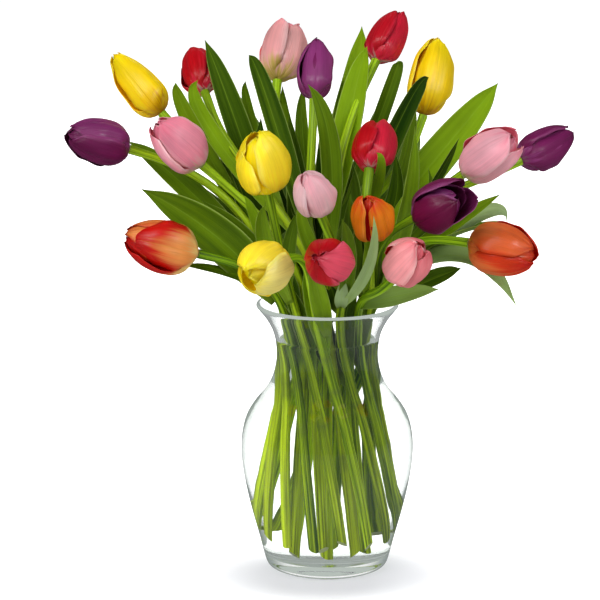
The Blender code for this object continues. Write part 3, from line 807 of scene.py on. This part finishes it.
def clear_group():
    """The slight waviness and smudging of a clear surface."""
    g, given, out = new_group(
        "Clear Skin", [("Wave Size", "Float", 30.0), ("Smudge", "Float", 0.02)],
        [("Roughness", "Float"), ("Height", "Float")])
    place = g.node("TexCoord").outputs["Object"]
    waves = g.noise(place, given.outputs["Wave Size"], 1.0)
    smudge = g.noise(place, 12.0, 4.0)
    roughness = g.math("MULTIPLY", g.step(smudge, 0.5, 0.8), given.outputs["Smudge"])
    return g.give(out, Roughness=roughness, Height=waves)


def new_material(name):
    material = bpy.data.materials.new(name)
    material.use_nodes = True
    material.node_tree.nodes.clear()
    return material, Tree(material.node_tree)


def living_material(name, group, inputs, finish):
    """A leaf, stem or petal: a group drives its skin, and a share of light passes through it."""
    material, m = new_material(name)
    skin = m.node("Group", inputs, node_tree=group)
    bump = m.node("Bump", {"Height": skin.outputs["Height"], "Strength": 1.0, "Distance": finish.relief})
    surface = m.node("BsdfPrincipled", {
        "Base Color": skin.outputs["Color"], "Roughness": skin.outputs["Roughness"],
        "Specular IOR Level": finish.specular, "Normal": bump.outputs["Normal"]}).outputs["BSDF"]
    if finish.glow:
        through = m.node("BsdfTranslucent", {
            "Color": skin.outputs["Color"], "Normal": bump.outputs["Normal"]})
        surface = m.node("MixShader", {0: finish.glow, 1: surface, 2: through.outputs[0]}).outputs[0]
    m.node("OutputMaterial", {"Surface": surface})
    return material


def clear_material(name, group, clear):
    """Glass or water that bends what is seen through it and lets lamp light pass, and glows with a painted
    pale light where light is trapped in it.
    """
    material, m = new_material(name)
    skin = m.node("Group", {"Wave Size": clear.wave_size, "Smudge": clear.smudge}, node_tree=group)
    bump = m.node("Bump", {"Height": skin.outputs["Height"], "Strength": 1.0, "Distance": clear.relief})
    bending = m.node("BsdfPrincipled", {
        "Base Color": clear.tint, "Metallic": 0.0, "Roughness": skin.outputs["Roughness"],
        "IOR": clear.ior, "Transmission Weight": 1.0, "Normal": bump.outputs["Normal"]})
    straight = m.node("BsdfTransparent", {"Color": clear.tint})
    path = m.node("LightPath")
    surface = m.node("MixShader", {
        0: path.outputs["Is Shadow Ray"], 1: bending.outputs[0], 2: straight.outputs[0]})
    # Painted glow: where light is trapped, the surface turns to a pale emission.
    trapped = m.math("MAXIMUM", m.math("GREATER_THAN", path.outputs["Ray Depth"], TRAPPED_BOUNCES),
                     m.math("GREATER_THAN", path.outputs["Glossy Depth"], TRAPPED_MIRRORINGS))
    pale = m.node("Emission", {"Color": colour(TRAPPED_PAINTED_GLOW)})
    surface = m.node("MixShader", {0: trapped, 1: surface.outputs[0], 2: pale.outputs[0]})
    m.node("OutputMaterial", {"Surface": surface.outputs[0]})
    return material


def shared(name, make, *settings):
    """A material or group made once and used by every piece that asks for it."""
    store = bpy.data.node_groups if name.endswith("Skin") else bpy.data.materials
    return store.get(name) or make(*settings)


def leaf_material():
    return shared("Leaf", living_material, "Leaf", shared("Leaf Skin", leaf_group), {}, LEAF_FINISH)


def stem_material():
    return shared("Stem", living_material, "Stem", shared("Stem Skin", stem_group), {}, STEM_FINISH)


def centre_material():
    return shared("Centre", living_material, "Centre", shared("Centre Skin", centre_group), {}, CENTRE_FINISH)


def petal_material(variety):
    kind = VARIETIES[variety]
    inputs = {name: colour(getattr(kind, name.lower())) for name in PETAL_SHADES}
    inputs.update({"Base Reach": kind.base_reach, "Flame Reach": kind.flame_reach})
    name = "Petal " + variety.replace("_", " ")
    return shared(name, living_material, name, shared("Petal Skin", petal_group), inputs, PETAL_FINISH)


# ---------------------------------------------------------------- stems


def stem_radii(radii, share, number, settings, chance):
    """A stem's radius along it, with swells, leaf scars and a widening under the bloom; and its scars."""
    radius = np.interp(share, np.linspace(0, 1, len(radii)), radii)
    under_bloom = BLOOM_SEAT * np.clip(1 - (1 - share) * 14, 0, 1)
    radius = radius * (1 + STEM_SWELL * np.sin(9 * share + number)) + under_bloom
    scar = np.zeros_like(share)
    for place in chance.uniform(*SCAR_PLACES, SCARS):
        scar += np.exp(-((share - place) / SCAR_LENGTH) ** 2)
    return radius + settings.scar_height * scar, scar


def add_stem(number, settings):
    name = f"stem_{number:02d}"
    middles, radii = stem_line(name)
    line = eased_line(middles, settings.rings, STEM_EASING)
    share = np.linspace(0, 1, settings.rings)
    radius, scar = stem_radii(radii, share, number, settings, np.random.default_rng(number))
    along, side, cross = carried_frames(line)
    turn = np.linspace(0, math.tau, settings.sides + 1)
    rings = rings_round(line, radius, side, cross, turn)
    slant = settings.cut_slant * radius[0] * np.cos(turn + number)
    for k, ease in enumerate(SLANT_EASES):
        rings[k] += (slant * ease)[:, None] * along[k]
    # The low side of a slanted end stands on the vase's floor, and doesn't sink into it.
    slanted = rings[:len(SLANT_EASES)]
    slanted[..., 2] = np.maximum(slanted[..., 2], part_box("water")[0].z)
    skin = Skin("seed", "scar", "cut")
    columns = settings.sides + 1
    where = np.stack(np.broadcast_arrays(turn[None] / math.tau, share[:, None]), -1)
    skin.add(rings, sheet_faces(settings.rings, columns).tolist(), where, seed=number / len(BLOOMS),
             scar=np.repeat(scar, columns), cut=0.0)
    add_stem_end(skin, rings[0], 0.55, along[0] * CUT_HOLLOW, True, number)
    add_stem_end(skin, rings[-1], 0.5, np.zeros(3), False, number)
    return placed(skin.finished(f"look_{name}", stem_material()), name)


def add_stem_end(skin, ring, inset, hollow, facing_back, number):
    """Closes a stem with a flat rim and a disc inside it, which can sink in a little."""
    outer = ring[:-1]
    middle = outer.mean(axis=0)
    inner = middle + (outer - middle) * inset + hollow
    points = np.concatenate([outer, inner, [inner.mean(axis=0)]])
    n = len(outer)
    faces = [[i, (i + 1) % n, n + (i + 1) % n, n + i] for i in range(n)]
    faces += [[n + i, n + (i + 1) % n, 2 * n] for i in range(n)]
    if facing_back:
        faces = [face[::-1] for face in faces]
    skin.add(points, faces, np.full((len(points), 2), 0.5), seed=number / len(BLOOMS), scar=0.0, cut=1.0)


# ---------------------------------------------------------------- blooms


def bloom_place(number):
    """Where a bloom starts, which way it points, its length and its radius."""
    points, _ = read_node(f"bloom_{number:02d}")
    middles, _ = stem_line(f"stem_{number:02d}")
    base = middles[-1]
    axis = unit(points.mean(axis=0) - base)
    reach = (points - base) @ axis
    off = np.linalg.norm(points - base - np.outer(reach, axis), axis=1)
    return base, axis, reach.max(), off.max()


def petal_midline(look, petal, length, radius, share, chance):
    """How far out and up a petal's midline is along it, and how much the petal narrows."""
    closed, opened = np.array(CLOSED_MIDLINE), np.array(SPREAD_MIDLINE)
    narrowing = 1 - TAPER * look.taper * past(share, 0.2, 0.8)
    middle = curve_through(closed + (opened - closed) * petal.spread, share)
    out, up = middle[:, 0] * radius * narrowing, middle[:, 1] * length * petal.tall
    if not petal.inner:
        return out, up * chance.uniform(0.94, 1.01), narrowing
    out, up = out * (INNER_RADIUS - INNER_LEAN * share), up * chance.uniform(0.95, 1.0)
    drawn_in = (0.5 - 0.5 * petal.spread) * past(share, 0.7, 0.3) ** 2
    return out * (1 - drawn_in), up, narrowing


def petal_half_width(look, petal, radius, narrowing, share):
    half = radius * look.fullness * narrowing * (1.0 if petal.inner else OUTER_WIDTH)
    tip = np.sqrt(np.clip(1 - past(share, 0.82, 0.18) ** 2.2, 0, 1))
    return np.maximum(half * curve_through(PETAL_HALF_WIDTH, share) * (0.35 + 0.65 * tip), LEAST_HALF_WIDTH)


def petal_relief(petal, across, share, ripple, phase):
    """How far a petal's surface stands off its smooth shape: its waved edge, folds, lap, midrib and lip."""
    edge, middle = np.abs(across) ** 2.5, np.sin(math.pi * share)
    wave = ripple * edge * np.sin(7 * share + phase[0] + 2.2 * across) * share
    wave += 0.5 * ripple * edge * np.sin(17 * share + phase[1] * np.sign(across))
    folds = FOLD_HEIGHT * np.sin(8 * across + phase[2]) * middle
    lap = PETAL_LAP * across * middle
    crease = -CREASE_DEPTH * np.exp(-(across / 0.16) ** 2) * middle
    lip = (0.0022 * petal.spread - 0.0008) * past(share, 0.85, 0.15) ** 2
    return wave + folds + lap + crease + lip


def petal_grid(look, petal, length, radius, settings, chance):
    """One petal over +X in the bloom's own frame: its outer and inner side, and coordinates over them."""
    share = np.linspace(0, 1, settings.rows)
    across = np.linspace(-1, 1, settings.columns)
    out, up, narrowing = petal_midline(look, petal, length, radius, share, chance)
    line = np.stack([out, np.zeros_like(out), up], axis=1)
    direction = unit_rows(np.gradient(line, axis=0))
    outward = np.stack([direction[:, 2], np.zeros_like(out), -direction[:, 0]], axis=1)
    half = petal_half_width(look, petal, radius, narrowing, share)
    curl = np.maximum(out, radius * 0.42) * (0.95 + 0.35 * petal.spread)
    angle = np.clip(half[:, None] * across[None] / curl[:, None], -MOST_CURL, MOST_CURL)
    grid = line[:, None] - outward[:, None] * (curl[:, None] * (1 - np.cos(angle)))[..., None]
    grid[..., 1] += curl[:, None] * np.sin(angle)
    normal = -np.sin(angle)[..., None] * np.array((0, -1.0, 0)) + np.cos(angle)[..., None] * outward[:, None]
    phase = chance.uniform(0, math.tau, 3)
    relief = petal_relief(petal, across[None], share[:, None], settings.ripple, phase)
    ragged = RAGGED_TIP * np.sin(6 * across[None] + phase[1]) * past(share, 0.78, 0.22)[:, None] ** 2
    grid = grid + normal * relief[..., None] + direction[:, None] * ragged[..., None]
    thick = settings.thickness * (1 - 0.62 * np.abs(across[None]) ** 2) * (1 - 0.45 * share[:, None] ** 2)
    return grid, grid - normal * thick[..., None], sheet_coordinates(across, share)


def add_bloom(number, settings):
    look = BLOOMS[number]
    base, axis, length, radius = bloom_place(number)
    chance = np.random.default_rng(100 + number)
    turn = Vector(axis).to_track_quat("Z", "Y").to_matrix()
    skin = Skin("seed", "inside", "tint")
    for place in range(PETALS):
        inner = place % 2 == 1
        spread = (look.inner if inner else look.outer)[place // 2]
        petal = Petal(min(1.0, spread + chance.uniform(-0.03, 0.03)), look.tall[place], inner)
        upper, lower, where = petal_grid(look, petal, length, radius * BLOOM_FILL, settings, chance)
        spin = math.radians(look.turn + 360 / PETALS * place + chance.uniform(-4, 4))
        whole = np.array(turn @ Matrix.Rotation(spin, 3, "Z"))
        skin.add_sheet(base + upper @ whole.T, base + lower @ whole.T, where,
                       seed=chance.uniform(0, 1), tint=look.tints[place])
    piece = skin.finished(f"look_bloom_{number:02d}", petal_material(look.variety))
    placed(piece, f"bloom_{number:02d}")
    if look.centre:
        add_centre(number, base, np.array(turn), length)


def rod(skin, line, radii, sides, dust):
    """A small closed rod through these points, for a pistil or a stamen."""
    line = np.asarray(line, float)
    _, side, cross = carried_frames(line)
    rings = rings_round(line, np.asarray(radii), side, cross, np.arange(sides) * math.tau / sides)
    last = (len(line) - 1) * sides
    ends = [list(range(sides))[::-1], [last + i for i in range(sides)]]
    skin.add(rings, ring_faces(len(line), sides) + ends, np.full((len(line) * sides, 2), 0.5), dust=dust)


def add_centre(number, base, turn, length):
    """A pistil with its three-lobed top, and six stamens round it."""
    skin = Skin("dust")
    tall = PISTIL_LENGTH * length

    def place(points):
        return base + np.asarray(points) @ turn.T

    rod(skin, place([(0, 0, tall * s) for s in np.linspace(0.1, 1, len(PISTIL_SHAPE))]),
        PISTIL_RADIUS * np.array(PISTIL_SHAPE), 12, 0.0)
    for lobe in range(3):
        x, y = math.cos(lobe * math.tau / 3), math.sin(lobe * math.tau / 3)
        arm = [(0.003 * s * x, 0.003 * s * y, tall + 0.0012 * math.sin(s * 3)) for s in (0, 0.5, 1, 1.3)]
        rod(skin, place(arm), (0.0012, 0.0015, 0.0012, 0.0005), 8, 0.0)
    for stamen in range(6):
        x, y = math.cos(stamen * math.tau / 6 + 0.3), math.sin(stamen * math.tau / 6 + 0.3)
        thread = [(x * (0.003 + 0.004 * s), y * (0.003 + 0.004 * s), tall * 0.75 * s)
                  for s in (0.12, 0.5, 1.0)]
        rod(skin, place(thread), (0.0008, 0.0007, 0.0005), 6, 0.15)
        head = [(x * (0.0068 + 0.0004 * s), y * (0.0068 + 0.0004 * s), tall * (0.68 + 0.32 * s))
                for s in (0, 0.2, 0.8, 1)]
        rod(skin, place(head), (0.0006, 0.0013, 0.0012, 0.0004), 8, 1.0)
    placed(skin.finished(f"look_centre_{number:02d}", centre_material()))


# ---------------------------------------------------------------- leaves


def add_leaf(name, rows, tone, seed, settings, node=None):
    """A smooth blade lofted through rows of three points, folded along its midrib."""
    share = np.linspace(0, 1, settings.rows)
    across = np.linspace(-1, 1, settings.columns)
    rib = curve_through(rows[:, 1], share)
    tip = np.sqrt(np.clip(1 - past(share, 0.8, 0.2) ** 1.8, 0, 1)) * 0.85 + 0.15 * (1 - share)
    left = curve_through(rows[:, 0] - rows[:, 1], share) * tip[:, None]
    right = curve_through(rows[:, 2] - rows[:, 1], share) * tip[:, None]
    reach = np.abs(across)[None]
    arm = np.where(across[None, :, None] < 0, left[:, None], right[:, None])
    grid = rib[:, None] + arm * reach[..., None]
    along = unit_rows(np.gradient(rib, axis=0))
    normal = np.cross(right - left, along)
    normal /= np.maximum(np.linalg.norm(normal, axis=1), 1e-12)[:, None]
    if normal.mean(axis=0) @ unit((left + right).mean(axis=0)) < 0:
        normal = -normal
    width = np.linalg.norm(right - left, axis=1)[:, None]
    chance = np.random.default_rng(seed)
    phase = chance.uniform(0, math.tau, 2)
    bowl = LEAF_BOWL * width * (reach ** 2 - reach)
    swell = 6.5 * share[:, None] + phase[0] + 1.3 * np.sign(across[None])
    wave = LEAF_WAVE * width * reach ** 2 * np.sin(swell)
    grid = grid + normal[:, None] * (bowl + wave)[..., None]
    thick = settings.thickness * (1 - 0.6 * reach ** 1.5) * (1 - 0.5 * share[:, None])
    off = normal[:, None] * thick[..., None] / 2
    upper, lower, where = grid + off, grid - off, sheet_coordinates(across, share)
    if np.dot(np.cross(grid[5, -1] - grid[5, 0], grid[6, 0] - grid[5, 0]), normal[5]) < 0:
        upper, lower, where = upper[:, ::-1], lower[:, ::-1], where[:, ::-1]
    skin = Skin("seed", "inside", "tone")
    skin.add_sheet(upper, lower, where, seed=chance.uniform(0, 1), tone=tone)
    return placed(skin.finished(name, leaf_material()), node)


def small_leaf_width(share):
    """A small leaf's width along it: narrow at the stem, widest before its middle, and a long point."""
    to_widest = math.sin(math.pi / 2 * min(1, share / LEAF_WIDEST))
    past_widest = max(0, (share - LEAF_WIDEST) / (1 - LEAF_WIDEST))
    return (LEAF_FOOT + (1 - LEAF_FOOT) * to_widest) * (1 - 0.93 * past_widest ** 2.2)


def small_leaf_rows(leaf):
    """Rows for a leaf that is looks only, along a simple bend from its stem."""
    middles, _ = stem_line(f"stem_{leaf.tulip:02d}")
    start = np.array([np.interp(leaf.height * MM, middles[:, 2], middles[:, k]) for k in range(3)])
    middle, tip = np.array(leaf.middle) * MM, np.array(leaf.tip) * MM
    bend = 2 * middle - (start + tip) / 2
    turn, rise = (math.radians(a) for a in leaf.face)
    face = np.array((math.cos(rise) * math.cos(turn), math.cos(rise) * math.sin(turn), math.sin(rise)))
    rows = []
    for s in np.linspace(0, 1, 9):
        point = (1 - s) ** 2 * start + 2 * (1 - s) * s * bend + s * s * tip
        along = unit(2 * (1 - s) * (bend - start) + 2 * s * (tip - bend))
        side = unit(np.cross(along, face))
        half = leaf.width * MM / 2 * small_leaf_width(s)
        raised = np.cross(side, along) * half * LEAF_FOLD
        rows.append((point - side * half + raised, point, point + side * half + raised))
    return np.array(rows)


# ---------------------------------------------------------------- vase and water


def lathe(name, profile, segments, material):
    """A closed solid turned round Z from a profile in millimetres that starts and ends on the axis."""
    radius, height = np.array(profile).T * MM
    turn = np.arange(segments) * math.tau / segments
    skin = Skin()
    rings = np.stack([radius[1:-1, None] * np.cos(turn), radius[1:-1, None] * np.sin(turn),
                      np.broadcast_to(height[1:-1, None], (len(radius) - 2, segments))], -1)
    points = np.concatenate([rings.reshape(-1, 3), [(0, 0, height[0]), (0, 0, height[-1])]])
    faces = ring_faces(len(rings), segments)
    faces += [[len(points) - 2, (i + 1) % segments, i] for i in range(segments)]
    last = (len(rings) - 1) * segments
    faces += [[last + i, last + (i + 1) % segments, len(points) - 1] for i in range(segments)]
    skin.add(points, faces, np.zeros((len(points), 2)))
    return skin.finished(name, material)


def smooth_profile(points, per_span=6):
    """More points along a smooth curve through those given."""
    points = np.array(points)
    return curve_through(points, np.linspace(0, 1, per_span * (len(points) - 1) + 1))


def split_profile():
    """The vase's outside from its foot up to its lip, and its inside from its floor up to its lip."""
    profile = vase_profile()
    # The lip's inner edge stands highest, and one point crowns the lip between its two edges.
    inner_edge = max(range(len(profile)), key=lambda i: profile[i][1])
    return profile[:inner_edge - 1], profile[:inner_edge - 1:-1]


def rounded_lip(lip_out, lip_in):
    """Points round half a circle from the outer edge of the lip over to its inner edge."""
    middle, half = (lip_out + lip_in) / 2, np.linalg.norm(lip_out - lip_in) / 2
    rise = math.atan2(*(lip_out - lip_in)[::-1])
    turns = rise + np.linspace(0, math.pi, 9)[1:-1]
    return [tuple(middle + half * np.array((math.cos(turn), math.sin(turn)))) for turn in turns]


def add_vase(settings):
    outside, inside = split_profile()
    walls, hollow = smooth_profile(outside), smooth_profile(inside)
    edge = walls[0][0]
    # The foot is slightly hollow, so that the vase stands on its edge.
    foot = [(0.0, 0.8), (20.0, 0.6), (edge - 8, 0.3), (edge - 4, 0.0)]
    profile = foot + walls.tolist() + rounded_lip(walls[-1], hollow[-1]) + hollow[::-1].tolist()
    material = clear_material("Vase Glass", shared("Clear Skin", clear_group), GLASS)
    piece = lathe("look_vase", profile + [(0.0, inside[0][1])], settings.segments, material)
    return placed(piece, "vase")


def add_water(settings):
    _, inside = split_profile()
    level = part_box("water")[1].z / MM
    hollow = smooth_profile(inside)
    bite = settings.water_bite / MM
    wet = [(r + bite, z) for r, z in hollow if z < level - 0.5]
    edge = np.interp(level, hollow[:, 1], hollow[:, 0])
    # The water climbs the glass a little, and is level from a few millimetres inside it.
    surface = [(edge + bite, level + 0.9), (edge - 0.8, level + 0.5), (edge - 2.2, level + 0.1),
               (edge - 4.5, level), (0.0, level)]
    floor = inside[0][1] - bite
    profile = [(0.0, floor), (wet[0][0] - 1.0, floor)] + wet + surface
    material = clear_material("Water", shared("Clear Skin", clear_group), WATER)
    piece = lathe("look_water", profile, settings.segments, material)
    return placed(piece, "water")


# ---------------------------------------------------------------- stage


def straight_through(tree, path, settings):
    """1 for light that has only passed through glass, and less for light mirrored inside it too."""
    return tree.step(path.outputs["Glossy Depth"], 0.0, 1.0, 1.0, settings.inner_mirror)


def set_world(settings):
    world = bpy.data.worlds.new("Studio")
    world.use_nodes = True
    world.node_tree.nodes.clear()
    w = Tree(world.node_tree)
    split = w.node("SeparateXYZ", {0: w.node("TexCoord").outputs["Generated"]})
    path = w.node("LightPath")
    sideways = w.step(w.math("ABSOLUTE", split.outputs["X"]), 0.35, 0.85)
    behind = w.mix(sideways, colour(BACKDROP), colour(SIDE_WALLS))
    behind = w.mix(w.step(split.outputs["Y"], -0.3, 0.1), colour(FRONT_WALL), behind)
    shade = w.mix(path.outputs["Is Glossy Ray"], colour(ROOM_LIGHT), colour(ROOM_IN_MIRRORS))
    through_glass = w.math(
        "MULTIPLY", path.outputs["Is Transmission Ray"], straight_through(w, path, settings))
    shade = w.mix(through_glass, shade, behind)
    scattered = w.math("GREATER_THAN", path.outputs["Diffuse Depth"], 0.5)
    shade = w.mix(scattered, shade, colour(ROOM_LIGHT))
    shade = w.mix(path.outputs["Is Camera Ray"], shade, colour(BACKDROP))
    light = w.node("Background", {"Color": shade, "Strength": 1.0})
    w.node("OutputWorld", {"Surface": light.outputs[0]})
    bpy.context.scene.world = world


def floor_material(settings):
    """White to the camera, with a painted soft shadow under the vase, and darker in mirrors and to scattered
    light.
    """
    material, m = new_material("Floor")
    place = m.node("TexCoord").outputs["Object"]
    white = m.mix(m.noise(place, 3.0), colour("#F8F8F8"), colour("#FCFCFC"))
    spot = m.node("SeparateXYZ", {0: place})
    from_shade = m.node("CombineXYZ", {
        0: m.math("MULTIPLY", spot.outputs["X"], 1 / settings.shade_width),
        1: m.math("MULTIPLY", m.math("ADD", spot.outputs["Y"], SHADE_FORWARD), 1 / settings.shade_depth)})
    far = m.node("VectorMath", {0: from_shade.outputs[0]}, operation="LENGTH")
    # Painted shadow: in an oval round the vase's foot the floor's colour and glow turn toward the shade
    # colour.
    white = m.mix(m.step(far.outputs["Value"], 0.3, 1.0, 0.9, 0.0), white, colour(FLOOR_SHADE))
    plain = m.node("BsdfPrincipled", {
        "Base Color": white, "Roughness": 0.85, "Emission Color": white, "Emission Strength": FLOOR_GLOW})
    dim = m.node("Emission", {"Color": colour(FLOOR_IN_MIRRORS)})
    path = m.node("LightPath")
    to_the_back = m.step(spot.outputs["Y"], -0.25, -0.12, 0.4, 1.0)
    through_glass = m.math("MULTIPLY", m.math("MULTIPLY", path.outputs["Is Transmission Ray"], to_the_back),
                           straight_through(m, path, settings))
    mirrored = m.math("SUBTRACT", path.outputs["Is Glossy Ray"], through_glass)
    scattered = m.math("MULTIPLY", m.math("GREATER_THAN", path.outputs["Diffuse Depth"], 0.5), 0.5)
    surface = m.node("MixShader", {
        0: m.math("MAXIMUM", mirrored, scattered), 1: plain.outputs[0], 2: dim.outputs[0]})
    m.node("OutputMaterial", {"Surface": surface.outputs[0]})
    return material


def add_floor(settings):
    half = settings.floor_size / 2
    skin = Skin()
    skin.add([(-half, -half, 0), (half, -half, 0), (half, half, 0), (-half, half, 0)], [[0, 1, 2, 3]],
             [(0, 0), (1, 0), (1, 1), (0, 1)])
    skin.finished("floor", floor_material(settings))


def add_lamp(name, lamp, power, sheen_for=None):
    """A soft round lamp that isn't seen in the glass, or one that only gives some pieces their sheen."""
    light = bpy.data.lights.new(name, "AREA")
    light.shape, light.size, light.energy = "DISK", lamp.size, power * lamp.share
    holder = bpy.data.objects.new(name, light)
    holder.location = lamp.place
    holder.visible_transmission = False
    holder.visible_glossy = bool(sheen_for)
    holder.visible_diffuse = not sheen_for
    if sheen_for:
        holder.light_linking.receiver_collection = sheen_for
    holder.rotation_euler = (Vector(lamp.target) - Vector(lamp.place)).to_track_quat("-Z", "Y").to_euler()
    bpy.context.scene.collection.objects.link(holder)


def add_lamps(settings):
    sheen_for = bpy.data.collections.new("Sheen")
    for piece in [o for o in bpy.context.scene.objects if o.name.startswith(("look_bloom", "look_stem"))]:
        sheen_for.objects.link(piece)
    for name, lamp in SHEEN_LAMPS.items():
        add_lamp(name, lamp, settings.sheen_power, sheen_for)
    for name, lamp in ROOM_LAMPS.items():
        add_lamp(name, lamp, settings.key_power)


def set_camera():
    scene = bpy.context.scene
    camera = bpy.data.objects.new("camera", bpy.data.cameras.new("camera"))
    camera.location = CAMERA_PLACE
    camera.rotation_euler = (math.radians(90 - CAMERA_DIP), 0, 0)
    camera.data.lens, camera.data.sensor_width = CAMERA_LENS, CAMERA_SENSOR
    scene.collection.objects.link(camera)
    scene.camera = camera
    scene.view_settings.view_transform = "Standard"


def set_stage(settings):
    set_world(settings)
    add_floor(settings)
    add_lamps(settings)
    set_camera()


# ---------------------------------------------------------------- operators and panel


class TULIPS_OT_stems(bpy.types.Operator):
    """Build the stems over the CAD stems"""
    bl_idname = "tulips.stems"
    bl_label = "Build Stems"

    def execute(self, context):
        for number in sorted(BLOOMS):
            add_stem(number, context.scene.tulip_stems)
        return {"FINISHED"}


class TULIPS_OT_blooms(bpy.types.Operator):
    """Build each bloom from six petals, with a centre where it shows"""
    bl_idname = "tulips.blooms"
    bl_label = "Build Blooms"

    def execute(self, context):
        for number in sorted(BLOOMS):
            add_bloom(number, context.scene.tulip_petals)
        return {"FINISHED"}


class TULIPS_OT_leaves(bpy.types.Operator):
    """Build the large leaves over the CAD leaves"""
    bl_idname = "tulips.leaves"
    bl_label = "Build Large Leaves"

    def execute(self, context):
        for index, node in enumerate(sorted(n for n in frame["nodes"] if n.startswith("leaf_"))):
            add_leaf(
                f"look_{node}", leaf_rows(node), LEAF_TONES[index], 300 + index,
                context.scene.tulip_leaves, node)
        return {"FINISHED"}


class TULIPS_OT_small_leaves(bpy.types.Operator):
    """Build the small leaves between the stems"""
    bl_idname = "tulips.small_leaves"
    bl_label = "Build Small Leaves"

    def execute(self, context):
        for index, leaf in enumerate(SMALL_LEAVES):
            add_leaf(f"small_leaf_{index + 1:02d}", small_leaf_rows(leaf), leaf.tone, 400 + index,
                     context.scene.tulip_leaves)
        return {"FINISHED"}


class TULIPS_OT_vase(bpy.types.Operator):
    """Build the glass vase"""
    bl_idname = "tulips.vase"
    bl_label = "Build Vase"

    def execute(self, context):
        add_vase(context.scene.tulip_vase)
        return {"FINISHED"}


class TULIPS_OT_water(bpy.types.Operator):
    """Build the water in the vase"""
    bl_idname = "tulips.water"
    bl_label = "Build Water"

    def execute(self, context):
        add_water(context.scene.tulip_vase)
        return {"FINISHED"}


class TULIPS_OT_stage(bpy.types.Operator):
    """Set the floor, the lamps, the surroundings and the camera"""
    bl_idname = "tulips.stage"
    bl_label = "Set Stage"

    def execute(self, context):
        set_stage(context.scene.tulip_stage)
        return {"FINISHED"}


OPERATORS = (TULIPS_OT_stems, TULIPS_OT_blooms, TULIPS_OT_leaves, TULIPS_OT_small_leaves, TULIPS_OT_vase,
             TULIPS_OT_water, TULIPS_OT_stage)
SETTINGS = {"tulip_stems": StemSettings, "tulip_petals": PetalSettings, "tulip_leaves": LeafSettings,
            "tulip_vase": VaseSettings, "tulip_stage": StageSettings}


class TULIPS_PT_build(bpy.types.Panel):
    """The settings and steps of the build"""
    bl_idname = "TULIPS_PT_build"
    bl_label = "Tulips in a Vase"
    bl_space_type = "VIEW_3D"
    bl_region_type = "UI"
    bl_category = "Tulips"

    def draw(self, context):
        for name in SETTINGS:
            settings = getattr(context.scene, name)
            column = self.layout.column(heading=name.replace("_", " ").capitalize())
            for key in settings.bl_rna.properties.keys()[1:]:
                column.prop(settings, key)
        for operator in OPERATORS:
            self.layout.operator(operator.bl_idname)


CLASSES = (*SETTINGS.values(), *OPERATORS, TULIPS_PT_build)


def register():
    for cls in CLASSES:
        bpy.utils.register_class(cls)
    for name, settings in SETTINGS.items():
        setattr(bpy.types.Scene, name, bpy.props.PointerProperty(type=settings))


def unregister():
    for name in SETTINGS:
        delattr(bpy.types.Scene, name)
    for cls in reversed(CLASSES):
        bpy.utils.unregister_class(cls)


def main():
    register()
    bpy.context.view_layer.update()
    bpy.ops.tulips.stems()
    bpy.ops.tulips.blooms()
    bpy.ops.tulips.leaves()
    bpy.ops.tulips.small_leaves()
    bpy.ops.tulips.vase()
    bpy.ops.tulips.water()
    bpy.ops.tulips.stage()


if __name__ == "__main__":
    main()
